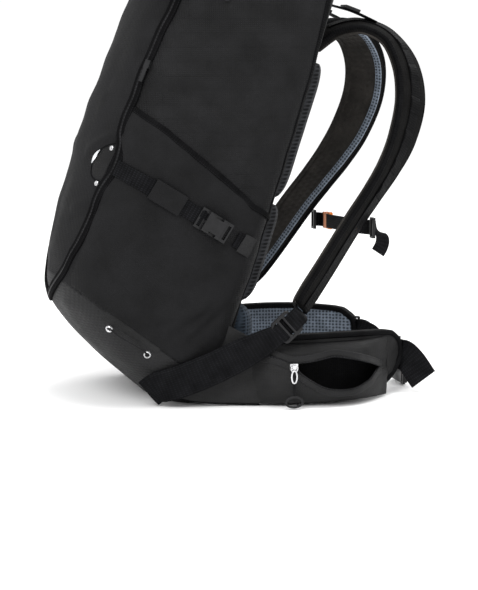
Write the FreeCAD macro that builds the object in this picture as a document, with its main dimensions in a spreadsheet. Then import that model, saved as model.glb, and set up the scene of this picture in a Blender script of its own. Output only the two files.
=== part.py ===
"""Avalanche airbag backpack, standing on its base with the hip belt resting on the ground.

Millimetres: +X is the wearer's forward direction (from the pack towards the belt tips),
+Y the wearer's left, +Z up. The right-hand pieces are modelled and the left-hand ones mirror them.
"""

import FreeCAD
import Part
import math
import os
from FreeCAD import Matrix, Placement, Rotation, Vector

doc = FreeCAD.newDocument("AirbagBackpack")

# ---------------------------------------------------------------- driving dimensions
DIMENSIONS = {
    "wall": 4.0, "bag_rim": 520.0, "front_bulge": 14.0, "side_split": 104.0,
    "shift_fwd": 9.7,
    "sheet_thick": 2.0, "stay_dia": 6.0, "stay_gap": 150.0,
    "lid_gap": 3.0, "lid_wall": 3.0,
    "webbing_thick": 1.6, "side_webbing": 20.0, "belt_webbing": 38.0,
    "strap_thick": 12.0, "strap_top": 64.0, "strap_low": 50.0,
    "wing_thick": 15.0, "pocket_wall": 2.5,
    "buckle_wide": 27.0, "buckle_thick": 8.5, "buckle_long": 25.0, "tongue_thick": 4.6,
    "tongue_long": 17.0, "base_long": 11.0,
    "lock_wide": 33.0, "lock_long": 30.0, "lock_thick": 4.2,
    "belt_buckle_wide": 46.0, "belt_buckle_thick": 10.0, "belt_buckle_long": 38.0,
    "slider_long": 10.0, "slider_wide": 7.5, "slider_high": 4.0,
    "tab_long": 17.0, "tab_wide": 8.5, "tab_thick": 1.8,
    "eyelet_out": 5.0, "eyelet_in": 2.6, "eyelet_high": 2.4,
    "rivet_dia": 7.0, "rivet_high": 1.6,
    "cord_dia": 2.4, "pull_cord_dia": 1.8, "loop_bead_dia": 2.2,
    "canister_dia": 56.0, "canister_long": 170.0, "neck_dia": 22.0, "valve_dia": 34.0,
    "valve_long": 30.0, "pin_dia": 6.0, "pin_long": 26.0,
    "grip_long": 70.0, "grip_dia": 15.0, "sleeve_long": 30.0,
    "belt_bar_dia": 4.0, "belt_ring_reach": 9.0, "handle_wide": 20.0,
    "chest_buckle_wide": 23.0, "chest_buckle_thick": 7.5, "chest_buckle_long": 20.0,
    "zip_wide": 16.0, "zip_thick": 2.0, "moon_dia": 50.0, "pole_tab_wide": 16.0,
    "burst_wide": 12.0, "burst_long": 224.0, "burst_high": 2.2, "shoulder_long": 16.0,
    "neck_long": 6.0, "spout_dia": 16.0, "spout_long": 40.0,
    "pad_inner": 14.0, "pad_outer": 118.0, "pad_thick": 22.0, "hem_dia": 9.2, "skin_gap": 0.15,
    "cord_loop_dia": 11.0, "cord_loop_low": 9.0,
}
sheet = doc.addObject("Spreadsheet::Sheet", "Dimensions")
for row, (alias, value) in enumerate(DIMENSIONS.items(), start=1):
    sheet.set(f"A{row}", alias)
    sheet.set(f"B{row}", str(value))
    sheet.setAlias(f"B{row}", alias)
doc.recompute()


def dim(alias):
    """A driving dimension, read back from the spreadsheet."""
    return float(sheet.get(alias))


SUBPARTS = {}
dim_bow = dim("front_bulge")


def keep(obj, label):
    """Registers an object as a sub-part under the name of its node."""
    obj.Label = label
    SUBPARTS[label] = obj
    return obj


def feature(label, shape):
    """A sub-part whose shape comes from Part's own functions."""
    obj = doc.addObject("Part::Feature", label)
    obj.Shape = shape
    return keep(obj, label)


def mirrored(label, source):
    """The wearer's left-hand twin of a right-hand piece."""
    obj = doc.addObject("Part::Mirroring", label)
    obj.Source = source
    obj.Normal = Vector(0, 1, 0)
    obj.Base = Vector(0, 0, 0)
    return keep(obj, label)


def pair(name, shape):
    """The same piece on the right and, mirrored, on the left."""
    right = feature(f"{name}_right", shape)
    mirrored(f"{name}_left", right)
    return right


def both_sides(label, shapes):
    """Right-hand shapes and their mirror images together as one node of small trim."""
    twins = [s.mirror(Vector(0, 0, 0), Vector(0, 1, 0)) for s in shapes]
    feature(label, Part.makeCompound(shapes + twins))


def cylinder(name, radius, height, at, axis):
    """A cylinder whose radius and height are expressions on the spreadsheet."""
    obj = doc.addObject("Part::Cylinder", name)
    obj.setExpression("Radius", radius)
    obj.setExpression("Height", height)
    obj.Placement = Placement(at, Rotation(Vector(0, 0, 1), axis))
    return obj


def joined(name, pieces):
    """A boolean union kept in the document's tree."""
    obj = doc.addObject("Part::MultiFuse", name)
    obj.Shapes = pieces
    obj.Refine = True
    return obj


def cut_from(name, base, tool):
    """A boolean cut kept in the document's tree."""
    obj = doc.addObject("Part::Cut", name)
    obj.Base = base
    obj.Tool = tool
    return obj


# ---------------------------------------------------------------- geometry helpers
SHIFT = Vector(dim("shift_fwd"), 0, 0)


def vec(x, y, z):
    """A point of the object; X is counted from the lumbar joint and moved to the footprint's centre here."""
    return Vector(x, y, z) + SHIFT


def prism(outline, y_low, y_high):
    """A solid between two Y planes whose outline is given in the XZ plane."""
    wire = Part.makePolygon([vec(x, y_low, z) for x, z in outline + outline[:1]])
    return Part.Face(wire).extrude(Vector(0, y_high - y_low, 0))


def block(low, high):
    """A box between two corners."""
    size = [b - a for a, b in zip(low, high)]
    return Part.makeBox(*size, vec(*low))


def frames(points, twists):
    """Centre, tangent, face normal and width direction along a strap that runs downwards or forwards.

    The untwisted face looks forwards and down the strap's curve; twist turns it towards the right."""
    found = []
    for i, point in enumerate(points):
        ahead = points[min(i + 1, len(points) - 1)]
        behind = points[max(i - 1, 0)]
        tangent = (ahead - behind).normalize()
        side = Vector(0, -1, 0)
        face = side.cross(tangent)
        face = Vector(face).normalize()
        side = tangent.cross(face)
        turn = math.radians(twists[i])
        normal = face * math.cos(turn) + side * math.sin(turn)
        width = normal.cross(tangent).normalize()
        found.append((point, tangent, normal.normalize(), width))
    return found


def ribbon(points, widths, thick, twists=None, lift=0.0):
    """A flat band lofted through rectangles across a route. lift moves it along its face normal."""
    twists = twists or [0.0] * len(points)
    widths = widths if isinstance(widths, list) else [widths] * len(points)
    sections = []
    for (centre, _, normal, width), wide in zip(frames(points, twists), widths):
        middle = centre + normal * lift
        across, through = width * (wide / 2), normal * (thick / 2)
        corners = [middle + across + through, middle - across + through,
                   middle - across - through, middle + across - through]
        sections.append(Part.makePolygon(corners + corners[:1]))
    return Part.makeLoft(sections, True, True)


def panel_strip(points, wide, thick, face=Vector(0, -1, 0)):
    """A flat band that lies on a side panel: its face looks along `face` and its edges lie in the panel."""
    sections = []
    for i, point in enumerate(points):
        ahead = points[min(i + 1, len(points) - 1)]
        behind = points[max(i - 1, 0)]
        tangent = (ahead - behind).normalize()
        across = face.cross(tangent).normalize() * (wide[i] / 2 if isinstance(wide, list) else wide / 2)
        through = Vector(face) * (thick / 2)
        corners = [point + across + through, point - across + through,
                   point - across - through, point + across - through]
        sections.append(Part.makePolygon(corners + corners[:1]))
    return Part.makeLoft(sections, True, True)


def tube(points, diameter):
    """A cord along straight runs joined by tangent arcs, and a check of its volume."""
    edges, radii = [], []
    start = points[0]
    for i in range(1, len(points) - 1):
        before, corner, after = points[i - 1], points[i], points[i + 1]
        d1, d2 = (corner - before), (after - corner)
        shorter = min(d1.Length, d2.Length)
        d1, d2 = d1.normalize(), d2.normalize()
        turn = math.acos(max(-1.0, min(1.0, d1.dot(d2))))
        radius = 0.45 * shorter / math.tan(turn / 2)
        cut = radius * math.tan(turn / 2)
        first, last = corner - d1 * cut, corner + d2 * cut
        bisector = (d2 - d1).normalize()
        middle = corner + bisector * (radius / math.cos(turn / 2) - radius)
        edges.append(Part.LineSegment(start, first).toShape())
        edges.append(Part.Arc(first, middle, last).toShape())
        start = last
        radii.append(round(radius, 1))
    edges.append(Part.LineSegment(start, points[-1]).toShape())
    path = Part.Wire(edges)
    heading = (points[1] - points[0]).normalize()
    profile = Part.Wire(Part.makeCircle(diameter / 2, points[0], heading))
    solid = path.makePipeShell([profile], True, False)
    wanted = math.pi * diameter * diameter / 4 * path.Length
    print("cord radii", radii, "length", round(path.Length, 1), "volume ratio",
          round(solid.Volume / wanted, 4))
    return solid


def place_on(origin, along, normal):
    """A placement whose local X runs along `along` and whose local Z points along `normal`."""
    x = Vector(along).normalize()
    z = Vector(normal).normalize()
    y = z.cross(x).normalize()
    z = x.cross(y)
    m = Matrix(x.x, y.x, z.x, origin.x, x.y, y.y, z.y, origin.y, x.z, y.z, z.z, origin.z, 0, 0, 0, 1)
    return Placement(m)


# ---------------------------------------------------------------- the bag
# One row per level: height, front, back, half width, front corner radius, back corner radius.
LEVELS = [
    (0, -128, -62, 98, 26, 12),
    (26, -158, -58, 116, 34, 16),
    (57, -192, -52, 127, 42, 20),
    (98, -229, -40, 134, 50, 24),
    (128, -251, -31, 137, 56, 26),
    (180, -249, -14, 141, 62, 28),
    (249, -235, 8, 143, 66, 28),
    (330, -210, 33, 144, 66, 28),
    (430, -172, 66, 141, 62, 28),
    (520, -134, 95, 134, 56, 28),
]


def level_wire(level, inset=0.0, drop=0.0):
    """The bag's plan outline at one level, with a bowed front and rounded corners."""
    z, front, back, half, r_front, r_back = level
    front, back, half = front + inset, back - inset, half - inset
    bow = dim("front_bulge")
    r_front, r_back = max(r_front - inset, 3), max(r_back - inset, 3)
    z = z + drop
    c = math.sqrt(0.5)

    def edge(a, b):
        return Part.LineSegment(vec(*a, z), vec(*b, z)).toShape()

    def arc(a, b, c_):
        return Part.Arc(vec(*a, z), vec(*b, z), vec(*c_, z)).toShape()

    fx = front + bow
    edges = [
        edge((fx + r_front, -half), (back - r_back, -half)),
        arc((back - r_back, -half), (back - r_back * (1 - c), -half + r_back * (1 - c)),
            (back, -half + r_back)),
        edge((back, -half + r_back), (back, half - r_back)),
        arc((back, half - r_back), (back - r_back * (1 - c), half - r_back * (1 - c)),
            (back - r_back, half)),
        edge((back - r_back, half), (fx + r_front, half)),
        arc((fx + r_front, half), (fx + r_front * (1 - c), half - r_front * (1 - c)),
            (fx, half - r_front)),
        arc((fx, half - r_front), (front, 0), (fx, -half + r_front)),
        arc((fx, -half + r_front), (fx + r_front * (1 - c), -half + r_front * (1 - c)),
            (fx + r_front, -half)),
    ]
    return Part.Wire(edges)


def level_at(z):
    """Front, back and half width of the bag at a height, between the listed levels."""
    for low, high in zip(LEVELS, LEVELS[1:]):
        if low[0] <= z <= high[0]:
            share = (z - low[0]) / (high[0] - low[0])
            return [a + (b - a) * share for a, b in zip(low, high)]
    raise ValueError(f"no bag at {z}")


def inside(x, y, level):
    """True where a plan point lies within the bag's outline at a level."""
    _, front, back, half, r_front, r_back = level
    y = abs(y)
    face = front + dim_bow * min(1.0, (y / (half - r_front)) ** 2)
    if y > half or x < face or x > back:
        return False
    for centre_x, r, ahead in ((front + dim_bow + r_front, r_front, -1), (back - r_back, r_back, 1)):
        if (x - centre_x) * ahead > 0 and y > half - r:
            return math.hypot(x - centre_x, y - half + r) <= r
    return True


def skin(z, turn, out=0.0):
    """A point on the bag's skin at height z, `turn` degrees from the front centre towards the right.

    Returns the point, `out` millimetres proud of the skin, and the outward direction in plan."""
    level = level_at(z)
    middle = (level[1] + level[2]) / 2
    ray = Vector(-math.cos(math.radians(turn)), -math.sin(math.radians(turn)), 0)
    low, high = 0.0, 400.0
    while high - low > 0.01:
        mid = (low + high) / 2
        point = ray * mid
        low, high = (mid, high) if inside(middle + point.x, point.y, level) else (low, mid)
    return vec(middle, 0, z) + ray * (low + out), ray


def side_skin(x, z, out=0.0):
    """A point on the right-hand side of the skin above a place in the XZ plane, and its outward direction."""
    level = level_at(z)
    low, high = 0.0, 400.0
    while high - low > 0.01:
        mid = (low + high) / 2
        low, high = (mid, high) if inside(x, -mid, level) else (low, mid)
    centre_x = level[1] + dim_bow + level[4]
    outward = Vector(0, -1, 0)
    if x < centre_x:
        outward = Vector(x - centre_x, -low + level[3] - level[4], 0).normalize()
    return vec(x, -low, z) + outward * out, outward


def bag_solid(swell=0.0, rows=None):
    """The bag's outer form as one solid, `swell` millimetres larger all round."""
    return Part.makeLoft([level_wire(v, -swell) for v in rows or LEVELS], True, True)


def bag_shell():
    """The outer skin with an open top."""
    outer = bag_solid()
    wall = dim("wall")
    inner = Part.makeLoft([level_wire(LEVELS[0], wall, wall)]
                          + [level_wire(v, wall) for v in LEVELS[1:-1]]
                          + [level_wire(LEVELS[-1], wall, wall)], True, True)
    return outer.cut(inner)


def bag_panels():
    """Cuts the skin along its main seams into base, sides, front and back."""
    shell = bag_shell()
    split, far = dim("side_split"), 300
    base_line = [(-400, 272), (-75, 30), (-50, -20), (-400, -20)]
    base = prism(base_line, -far, far)
    feature("base_panel", shell.common(base))
    upper = shell.cut(base)
    side = block((-400, -far, -20), (400, -split, 700))
    right = feature("side_panel_right", upper.common(side))
    mirrored("side_panel_left", right)
    middle = upper.common(block((-400, -split, -20), (400, split, 700)))
    front_line = [(-400, -20), (-75, -20), (-75, 30), (-20, 530), (-400, 530)]
    front = prism(front_line, -far, far)
    feature("front_panel", middle.common(front))
    feature("back_panel", middle.cut(front))


def back_line(z, out=0.0):
    """A point on the bag's back face in the XZ plane, `out` millimetres proud of it."""
    return level_at(z)[2] + out


def leaning_plate(z_low, z_high, out_low, out_high, y_low, y_high, steps=4):
    """A plate that follows the bag's back between two offsets from it."""
    heights = [z_low + (z_high - z_low) * i / steps for i in range(steps + 1)]
    outline = [(back_line(z, out_low), z) for z in heights]
    outline += [(back_line(z, out_high), z) for z in reversed(heights)]
    return prism(outline, y_low, y_high)


def harness_frame():
    """The plastic frame sheet, two aluminium stays, the ventilated back pads and the lumbar pad."""
    wall, thick = dim("wall"), dim("sheet_thick")
    face = -wall - 2.2
    feature("frame_sheet", leaning_plate(70, 455, face - thick, face, -98, 98))
    stays = []
    for side in (-1, 1):
        y = side * dim("stay_gap") / 2
        x_low = face - thick - 0.5 - dim("stay_dia") / 2
        low = vec(back_line(180, x_low) - 100 * 0.335, y, 80)
        high = vec(back_line(180, x_low) + 260 * 0.318, y, 440)
        stays.append(Part.makeCylinder(dim("stay_dia") / 2 - 1.2, (high - low).Length, low, high - low))
    feature("frame_stays", Part.makeCompound(stays))
    pads = []
    near, far, out = dim("pad_inner"), dim("pad_outer"), dim("pad_thick")
    for y_low, y_high in ((-far, -near), (near, far)):
        pads.append(leaning_plate(262, 428, 0.5, out, y_low, y_high))
        pads.append(leaning_plate(134, 250, 0.5, out, y_low, y_high))
    feature("back_pads", Part.makeCompound(pads))
    lumbar = prism([(-51, 22), (-34, 112), (-22, 122), (-4, 108), (-22, 30), (-36, 18)], -96, 96)
    feature("lumbar_pad", lumbar)


# ---------------------------------------------------------------- lid and airbag
def lid():
    """The top flap: a shallow cap, open underneath, that turns about the fabric seam at its rear edge."""
    gap, wall, rim = dim("lid_gap"), dim("lid_wall"), dim("bag_rim")
    rows = [(rim + gap, -136, 14, 137, 56, 8), (rim + 22, -130, 14, 132, 56, 8),
            (rim + 33, -112, 14, 118, 50, 8)]
    outer = Part.makeLoft([level_wire(r) for r in rows], True, True)
    inner = Part.makeLoft([level_wire(rows[0], wall, -1), level_wire(rows[1], wall),
                           level_wire(rows[2], wall, -wall)], True, True)
    hem = Part.makeCylinder(dim("hem_dia") / 2, 210, vec(17, -105, 556), Vector(0, 1, 0))
    feature("lid", outer.cut(inner).fuse(hem))
    slit = Part.makeLoft([level_wire((rim + gap + dz, -137.5, 4, 138.5, 57, 4)) for dz in (0.5, 6.5)], True, True)
    core = Part.makeLoft([level_wire((rim + gap + dz, -137.5, 4, 138.5, 57, 4), 1.2) for dz in (0, 7)],
                         True, True)
    feature("lid_zip", slit.cut(core).cut(outer).cut(block((-6, -200, 500), (60, 200, 560))))


COVER = [(20, 470), (60, 470), (74, 519), (78, 525), (94, 527), (98, 545), (86, 555), (34, 555),
         (20, 550)]


def shrink(outline, by):
    """The outline moved inwards by `by`, towards its centre."""
    wire = Part.makePolygon([Vector(x, 0, z) for x, z in outline + outline[:1]])
    inner = wire.makeOffset2D(-by) if Part.Face(wire).Area > 0 else wire
    if Part.Face(inner).Area > Part.Face(wire).Area:
        inner = wire.makeOffset2D(by)
    return inner


def airbag():
    """The cover behind the neck, the folded airbag in it, its burst seam, and the inflator."""
    outer = prism(COVER, -118, 118)
    inner = Part.Face(shrink(COVER, 3)).extrude(Vector(0, 230, 0))
    inner.translate(vec(0, -115, 0))
    feature("airbag_cover", outer.cut(inner))
    folded = Part.Face(shrink(COVER, 6)).extrude(Vector(0, 216, 0))
    folded.translate(vec(0, -108, 0))
    feature("airbag_folded", folded)
    seam = doc.addObject("Part::Box", "burst_zip")
    seam.setExpression("Length", "Dimensions.burst_wide")
    seam.setExpression("Width", "Dimensions.burst_long")
    seam.setExpression("Height", "Dimensions.burst_high")
    seam.Placement = Placement(vec(52, -dim("burst_long") / 2, 555.3), Rotation())
    keep(seam, "burst_zip")
    inflator()


def inflator():
    """The air canister, the valve on its neck and the firing pin that slides in the valve."""
    axis = Vector(0.31, 0, 0.951).normalize()
    foot = vec(-74, 62, 150)
    shoulder_at = foot + axis * dim("canister_long")
    neck_at = shoulder_at + axis * dim("shoulder_long")
    bottle = cylinder("Bottle", "Dimensions.canister_dia / 2", "Dimensions.canister_long", foot, axis)
    shoulder = doc.addObject("Part::Cone", "Shoulder")
    shoulder.setExpression("Radius1", "Dimensions.canister_dia / 2")
    shoulder.setExpression("Radius2", "Dimensions.neck_dia / 2")
    shoulder.setExpression("Height", "Dimensions.shoulder_long")
    shoulder.Placement = Placement(shoulder_at, Rotation(Vector(0, 0, 1), axis))
    neck = cylinder("Neck", "Dimensions.neck_dia / 2", "Dimensions.neck_long", neck_at, axis)
    keep(joined("air_canister", [bottle, shoulder, neck]), "air_canister")
    valve_at = neck_at + axis * (dim("neck_long") + 0.2)
    barrel = cylinder("Barrel", "Dimensions.valve_dia / 2", "Dimensions.valve_long", valve_at, axis)
    spout = cylinder("Spout", "Dimensions.spout_dia / 2", "Dimensions.spout_long", valve_at + axis * 10,
                     Vector(0, -1, 0))
    bore_at = valve_at + axis * (dim("valve_long") - 20)
    bore = cylinder("Bore", "Dimensions.pin_dia / 2 + 0.05", "Dimensions.valve_long", bore_at, axis)
    keep(cut_from("inflator_valve", joined("ValveBody", [barrel, spout]), bore), "inflator_valve")
    pin = cylinder("firing_pin", "Dimensions.pin_dia / 2", "Dimensions.pin_long", bore_at + axis, axis)
    keep(pin, "firing_pin")


# ---------------------------------------------------------------- shoulder harness
STRAP_ROUTE = [(84, -46, 448), (112, -50, 468), (146, -60, 474), (178, -73, 459), (197, -87, 424),
               (199, -101, 380), (185, -113, 334), (165, -121, 297), (141, -127, 263),
               (113, -133, 226), (73, -141, 169), (41, -149, 126)]
STRAP_TWIST = [0, 3, 9, 20, 32, 40, 42, 39, 37, 36, 37, 38]


def strap_points():
    return [vec(*p) for p in STRAP_ROUTE]


def shoulder_straps():
    """Foam straps, their anchors, the adjuster webbing, ladder locks and load lifters."""
    top, low = dim("strap_top"), dim("strap_low")
    count = len(STRAP_ROUTE)
    widths = [top + (low - top) * min(1.0, i / (count - 4)) for i in range(count)]
    widths[-1] = low - 8
    pair("shoulder_strap", ribbon(strap_points(), widths, dim("strap_thick"), STRAP_TWIST))
    thick = dim("webbing_thick")
    lock, along, normal = lock_frame()
    foam_end = strap_points()[-1]
    start = foam_end - Vector(0, 0, 7)
    webbing = panel_strip([start - along * 1.5 + normal, lock + along * 17 - normal * 1.2,
                           lock + along * 5 - normal * 4.2, lock - along * 8 - normal * 5.2,
                           lock - along * 25 - normal * 6.2],
                          25, thick, normal)
    both_sides("strap_webbing", [webbing])


def lock_frame():
    """Where the shoulder strap's ladder lock lies, and its pull direction and outward face."""
    along = Vector(0.745, 0, 0.667)
    return vec(18, -165.5, 103), along, Vector(0, -1, 0)


def ladder_lock():
    """A moulded frame with three bars, drawn on its own plane and padded."""
    body = doc.addObject("PartDesign::Body", "LadderLock")
    plane = next(f for f in body.Origin.OriginFeatures if f.Role == "XY_Plane")
    outline = body.newObject("Sketcher::SketchObject", "LadderOutline")
    outline.AttachmentSupport = [(plane, "")]
    outline.MapMode = "FlatFace"
    long_, wide = dim("lock_long"), dim("lock_wide")
    draw_rounded(outline, -long_ / 2, -wide / 2, long_ / 2, wide / 2, 5)
    pad = body.newObject("PartDesign::Pad", "LadderPad")
    pad.Profile = outline
    pad.setExpression("Length", "Dimensions.lock_thick")
    doc.recompute()
    slots = body.newObject("Sketcher::SketchObject", "LadderSlots")
    slots.AttachmentSupport = [(plane, "")]
    slots.MapMode = "FlatFace"
    for x_low, x_high in ((-11.5, -5.5), (-2.5, 3.0), (6.0, 11.5)):
        draw_rounded(slots, x_low, -13.2, x_high, 13.2, 1.2)
    pocket = body.newObject("PartDesign::Pocket", "LadderPocket")
    pocket.Profile = slots
    pocket.Type = "ThroughAll"
    pocket.Midplane = True
    doc.recompute()
    lock, along, normal = lock_frame()
    body.Placement = place_on(lock, along, normal)
    keep(body, "ladder_lock_right")
    mirrored("ladder_lock_left", body)


def draw_rounded(sketch, x0, y0, x1, y1, r):
    """A rectangle with rounded corners, as one closed loop of lines and arcs."""
    z = Vector(0, 0, 1)

    def line(a, b):
        sketch.addGeometry(Part.LineSegment(Vector(*a, 0), Vector(*b, 0)), False)

    def arc(cx, cy, a0):
        circle = Part.Circle(Vector(cx, cy, 0), z, r)
        sketch.addGeometry(Part.ArcOfCircle(circle, a0, a0 + math.pi / 2), False)

    line((x0 + r, y0), (x1 - r, y0))
    arc(x1 - r, y0 + r, -math.pi / 2)
    line((x1, y0 + r), (x1, y1 - r))
    arc(x1 - r, y1 - r, 0)
    line((x1 - r, y1), (x0 + r, y1))
    arc(x0 + r, y1 - r, math.pi / 2)
    line((x0, y1 - r), (x0, y0 + r))
    arc(x0 + r, y0 + r, math.pi)


# ---------------------------------------------------------------- side and front trim
def skin_layer(low, high):
    """A thin shell over the bag between two offsets from its skin."""
    return bag_solid(high, LEVELS[1:]).cut(bag_solid(low, LEVELS[1:]))


def skin_strip(places, wide, thick):
    """A flat band along (point, outward) places on the skin, its back on those points."""
    sections = []
    for i, (point, out) in enumerate(places):
        ahead = places[min(i + 1, len(places) - 1)][0]
        behind = places[max(i - 1, 0)][0]
        across = out.cross(ahead - behind).normalize() * (wide / 2)
        corners = [point + across + out * thick, point - across + out * thick,
                   point - across, point + across]
        sections.append(Part.makePolygon(corners + corners[:1]))
    return Part.makeLoft(sections, True, True)


def trim():
    """Front zip, side pockets, gear-loop patches with rivets and reflectors, and the pole cords."""
    lift = 1.3
    bag = bag_solid(dim("skin_gap"))
    route = [side_skin(-104, 512, lift), side_skin(-138, 440, lift), side_skin(-166, 370, lift),
             side_skin(-175, 344, lift), side_skin(-190, 300, lift)]
    route += [skin(z, turn, lift) for z, turn in ((262, 47), (222, 43), (186, 36), (158, 26), (139, 14),
                                                  (129, 0.01))]
    both_sides("front_zip", [skin_strip(route, dim("zip_wide"), dim("zip_thick")).cut(bag)])
    pocket_edge = [(-152, 368), (-128, 346), (-3.5, 238), (-24, 150), (-56, 62), (-90, 52), (-160, 104),
                   (-206, 146), (-214, 200), (-196, 262), (-176, 300)]
    pocket = skin_layer(0.4, 2.6).common(prism(pocket_edge, -200, -60))
    both_sides("side_pockets", [pocket])
    at, out = skin(311, 41, 1.6)
    moon = Part.makeCylinder(dim("moon_dia") / 2, 2, at, out)
    above = Part.makeBox(80, 80, 80, Vector(-40, -40, -40))
    above.Placement = place_on(at, out, Vector(0.35, -0.35, 1))
    above.translate(Vector(0, 0, 58))
    tab = skin_strip([side_skin(-196, 116, 0.5), side_skin(-178, 106, 0.5), side_skin(-163, 95, 0.5)],
                     dim("pole_tab_wide"), 1.6)
    both_sides("gear_patches", [moon.cut(above).cut(bag), tab.cut(bag)])
    rivets = [Part.makeCylinder(dim("rivet_dia") / 2, dim("rivet_high"), at + out * 2.2 + step, out).cut(bag)
              for step in (Vector(12, -14, 12), Vector(-7, 7, -16))]
    both_sides("patch_rivets", rivets)


def pole_holders():
    """Two eyelets low on each side with a short cord between them."""
    rings, cords = [], []
    bag = bag_solid(dim("skin_gap"))
    for x, z in ((-196, 104), (-151, 70)):
        at, out = side_skin(x, z, 0.3)
        ring = Part.makeCylinder(dim("eyelet_out"), dim("eyelet_high"), at, out)
        rings.append(ring.cut(Part.makeCylinder(dim("eyelet_in"), 10, at - out * 3, out)).cut(bag))
    for x, z, lift in ((-196, 104, 4.6), (-188, 97, 9.0), (-177, 90, 11.0), (-165, 82, 11.0),
                       (-156, 75, 8.6), (-151, 70, 4.6)):
        cords.append(side_skin(x, z, lift)[0])
    cord = tube(cords, dim("cord_dia"))
    both_sides("eyelets", rings)
    both_sides("pole_cords", [cord])


def compression():
    """Side compression straps: webbing from the front seam, a side-release buckle and its fixed tongue."""
    start, end = Vector(-184, 0, 301), Vector(-27, 0, 203)
    lift = 3.9
    stops = [start + (end - start) * 0.74 * i / 14 for i in range(15)]
    tail = [start + (end - start) * share for share in (0.905, 0.95, 1.0)]
    beneath = bag_solid(lift - 1.1)
    strips = []
    for run in (stops, tail):
        strip = skin_strip([side_skin(p.x, p.z, lift) for p in run], dim("side_webbing"), dim("webbing_thick"))
        strips.append(strip.cut(beneath))
    both_sides("compression_webbing", strips)
    along = (end - start).normalize()
    middle = start + (end - start) * 0.785
    at, _ = side_skin(middle.x, middle.z, lift + dim("webbing_thick") + 1.9)
    out = Vector(0.0, -1, 0.0)
    body, tongue = side_release(dim("buckle_wide"), dim("buckle_thick"), dim("buckle_long"))
    for shape in (body, tongue):
        shape.Placement = place_on(at, along, out)
    pair("compression_buckle", body)
    both_sides("compression_tongues", [tongue])


def side_release(wide, thick, long_):
    """A side-release buckle on its own plane: the hollow body ahead of x = 0 and the pronged tongue behind."""
    body = Part.makeBox(long_, wide, thick, Vector(-long_, -wide / 2, 0))
    body = body.makeFillet(thick * 0.28, [e for e in body.Edges if abs(e.Length - long_) < 0.01])
    room = Part.makeBox(long_ - 7, wide - 6, thick - 3.2, Vector(-long_ + 7.1, -wide / 2 + 3, 1.6))
    slots = [Part.makeBox(long_ * 0.4, 5, thick, Vector(-long_ * 0.62, y, 1.6))
             for y in (-wide / 2 - 1, wide / 2 - 4)]
    body = body.cut(room)
    for slot in slots:
        body = body.cut(slot)
    bar = Part.makeBox(10, wide, 3, Vector(-long_ - 10, -wide / 2, 0))
    bar = bar.cut(Part.makeBox(4.5, wide - 6, 9, Vector(-long_ - 7.5, -wide / 2 + 3, -3)))
    body = body.fuse(bar).removeSplitter()
    tongue = Part.makeBox(9, wide - 1, thick - 3.4, Vector(0.4, -(wide - 1) / 2, 1.7))
    tongue = tongue.cut(Part.makeBox(4, wide - 8, 12, Vector(3.4, -(wide - 8) / 2, -3)))
    reach = long_ - 8.5
    for y, width in ((-wide / 2 + 3.8, 3.4), (-1.5, 3.0), (wide / 2 - 7.2, 3.4)):
        tongue = tongue.fuse(Part.makeBox(reach, width, thick - 4.2, Vector(0.5 - reach, y, 2.1)))
    return body, tongue.removeSplitter()


# ---------------------------------------------------------------- hip belt
# Wing sections from the hinge outwards: X and Y of the middle, and the lower and upper edge.
WING = [(-40, -118, 6, 80), (0, -132, 2, 86), (60, -138, 0, 88), (120, -128, 4, 88), (160, -110, 14, 84),
        (185, -93, 30, 76)]


def wing_side(i):
    """Unit vector in plan from the wing towards its outer face at section i."""
    ahead, behind = WING[min(i + 1, len(WING) - 1)], WING[max(i - 1, 0)]
    return Vector(ahead[1] - behind[1], behind[0] - ahead[0], 0).normalize()


def wing_plan(x):
    """Y of the wing's middle at a distance forward."""
    for a, b in zip(WING, WING[1:]):
        if a[0] <= x <= b[0]:
            return a[1] + (b[1] - a[1]) * (x - a[0]) / (b[0] - a[0])
    raise ValueError(f"no wing at {x}")


def hip_wing():
    """One padded wing; its rear end is rolled round the seam that it flexes about."""
    half = dim("wing_thick") / 2
    sections = []
    for i, (x, y, low, high) in enumerate(WING):
        out = wing_side(i)
        ring = []
        for across, z in ((-half + 3, low), (half - 3, low), (half, low + 6), (half, high - 6),
                          (half - 3, high), (-half + 3, high), (-half, high - 6), (-half, low + 6)):
            ring.append(vec(x, y, z) + out * across)
        sections.append(Part.makePolygon(ring + ring[:1]))
    wing = Part.makeLoft(sections, True, True)
    x, y, low, high = WING[0]
    root = Part.makeCylinder(half - 0.1, high - low - 6, vec(x, y, low + 3), Vector(0, 0, 1))
    pair("hip_wing", wing.fuse(root))


def hip_pocket():
    """The zipped pocket on the wing, with its mouth open."""
    wall, half = dim("pocket_wall"), dim("wing_thick") / 2
    bulge = [(-18, 3), (0, 14), (30, 25), (110, 30.3), (140, 20), (162, 3)]

    def outline(inset):
        outer = [(x, wing_plan(x) - half - 1.2 - b + inset) for x, b in bulge]
        inner = [(x, wing_plan(x) - half - 1.2 - inset) for x in (162, 120, 60, 0, -18)]
        return outer, inner

    def solid(inset, z_low, z_high):
        outer, inner = outline(inset)
        if inset:
            outer, inner = outer[1:-1], [inner[1], inner[2], inner[3]]
        points = [vec(x, y, z_low) for x, y in outer + inner]
        face = Part.Face(Part.makePolygon(points + points[:1]))
        return face.extrude(Vector(0, 0, z_high - z_low))

    pocket = solid(0, 5, 75).cut(solid(wall, 5 + wall, 75 - wall))
    mouth = block((32, -220, 26), (132, -158, 53))
    pair("hip_pocket", pocket.cut(mouth))


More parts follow.
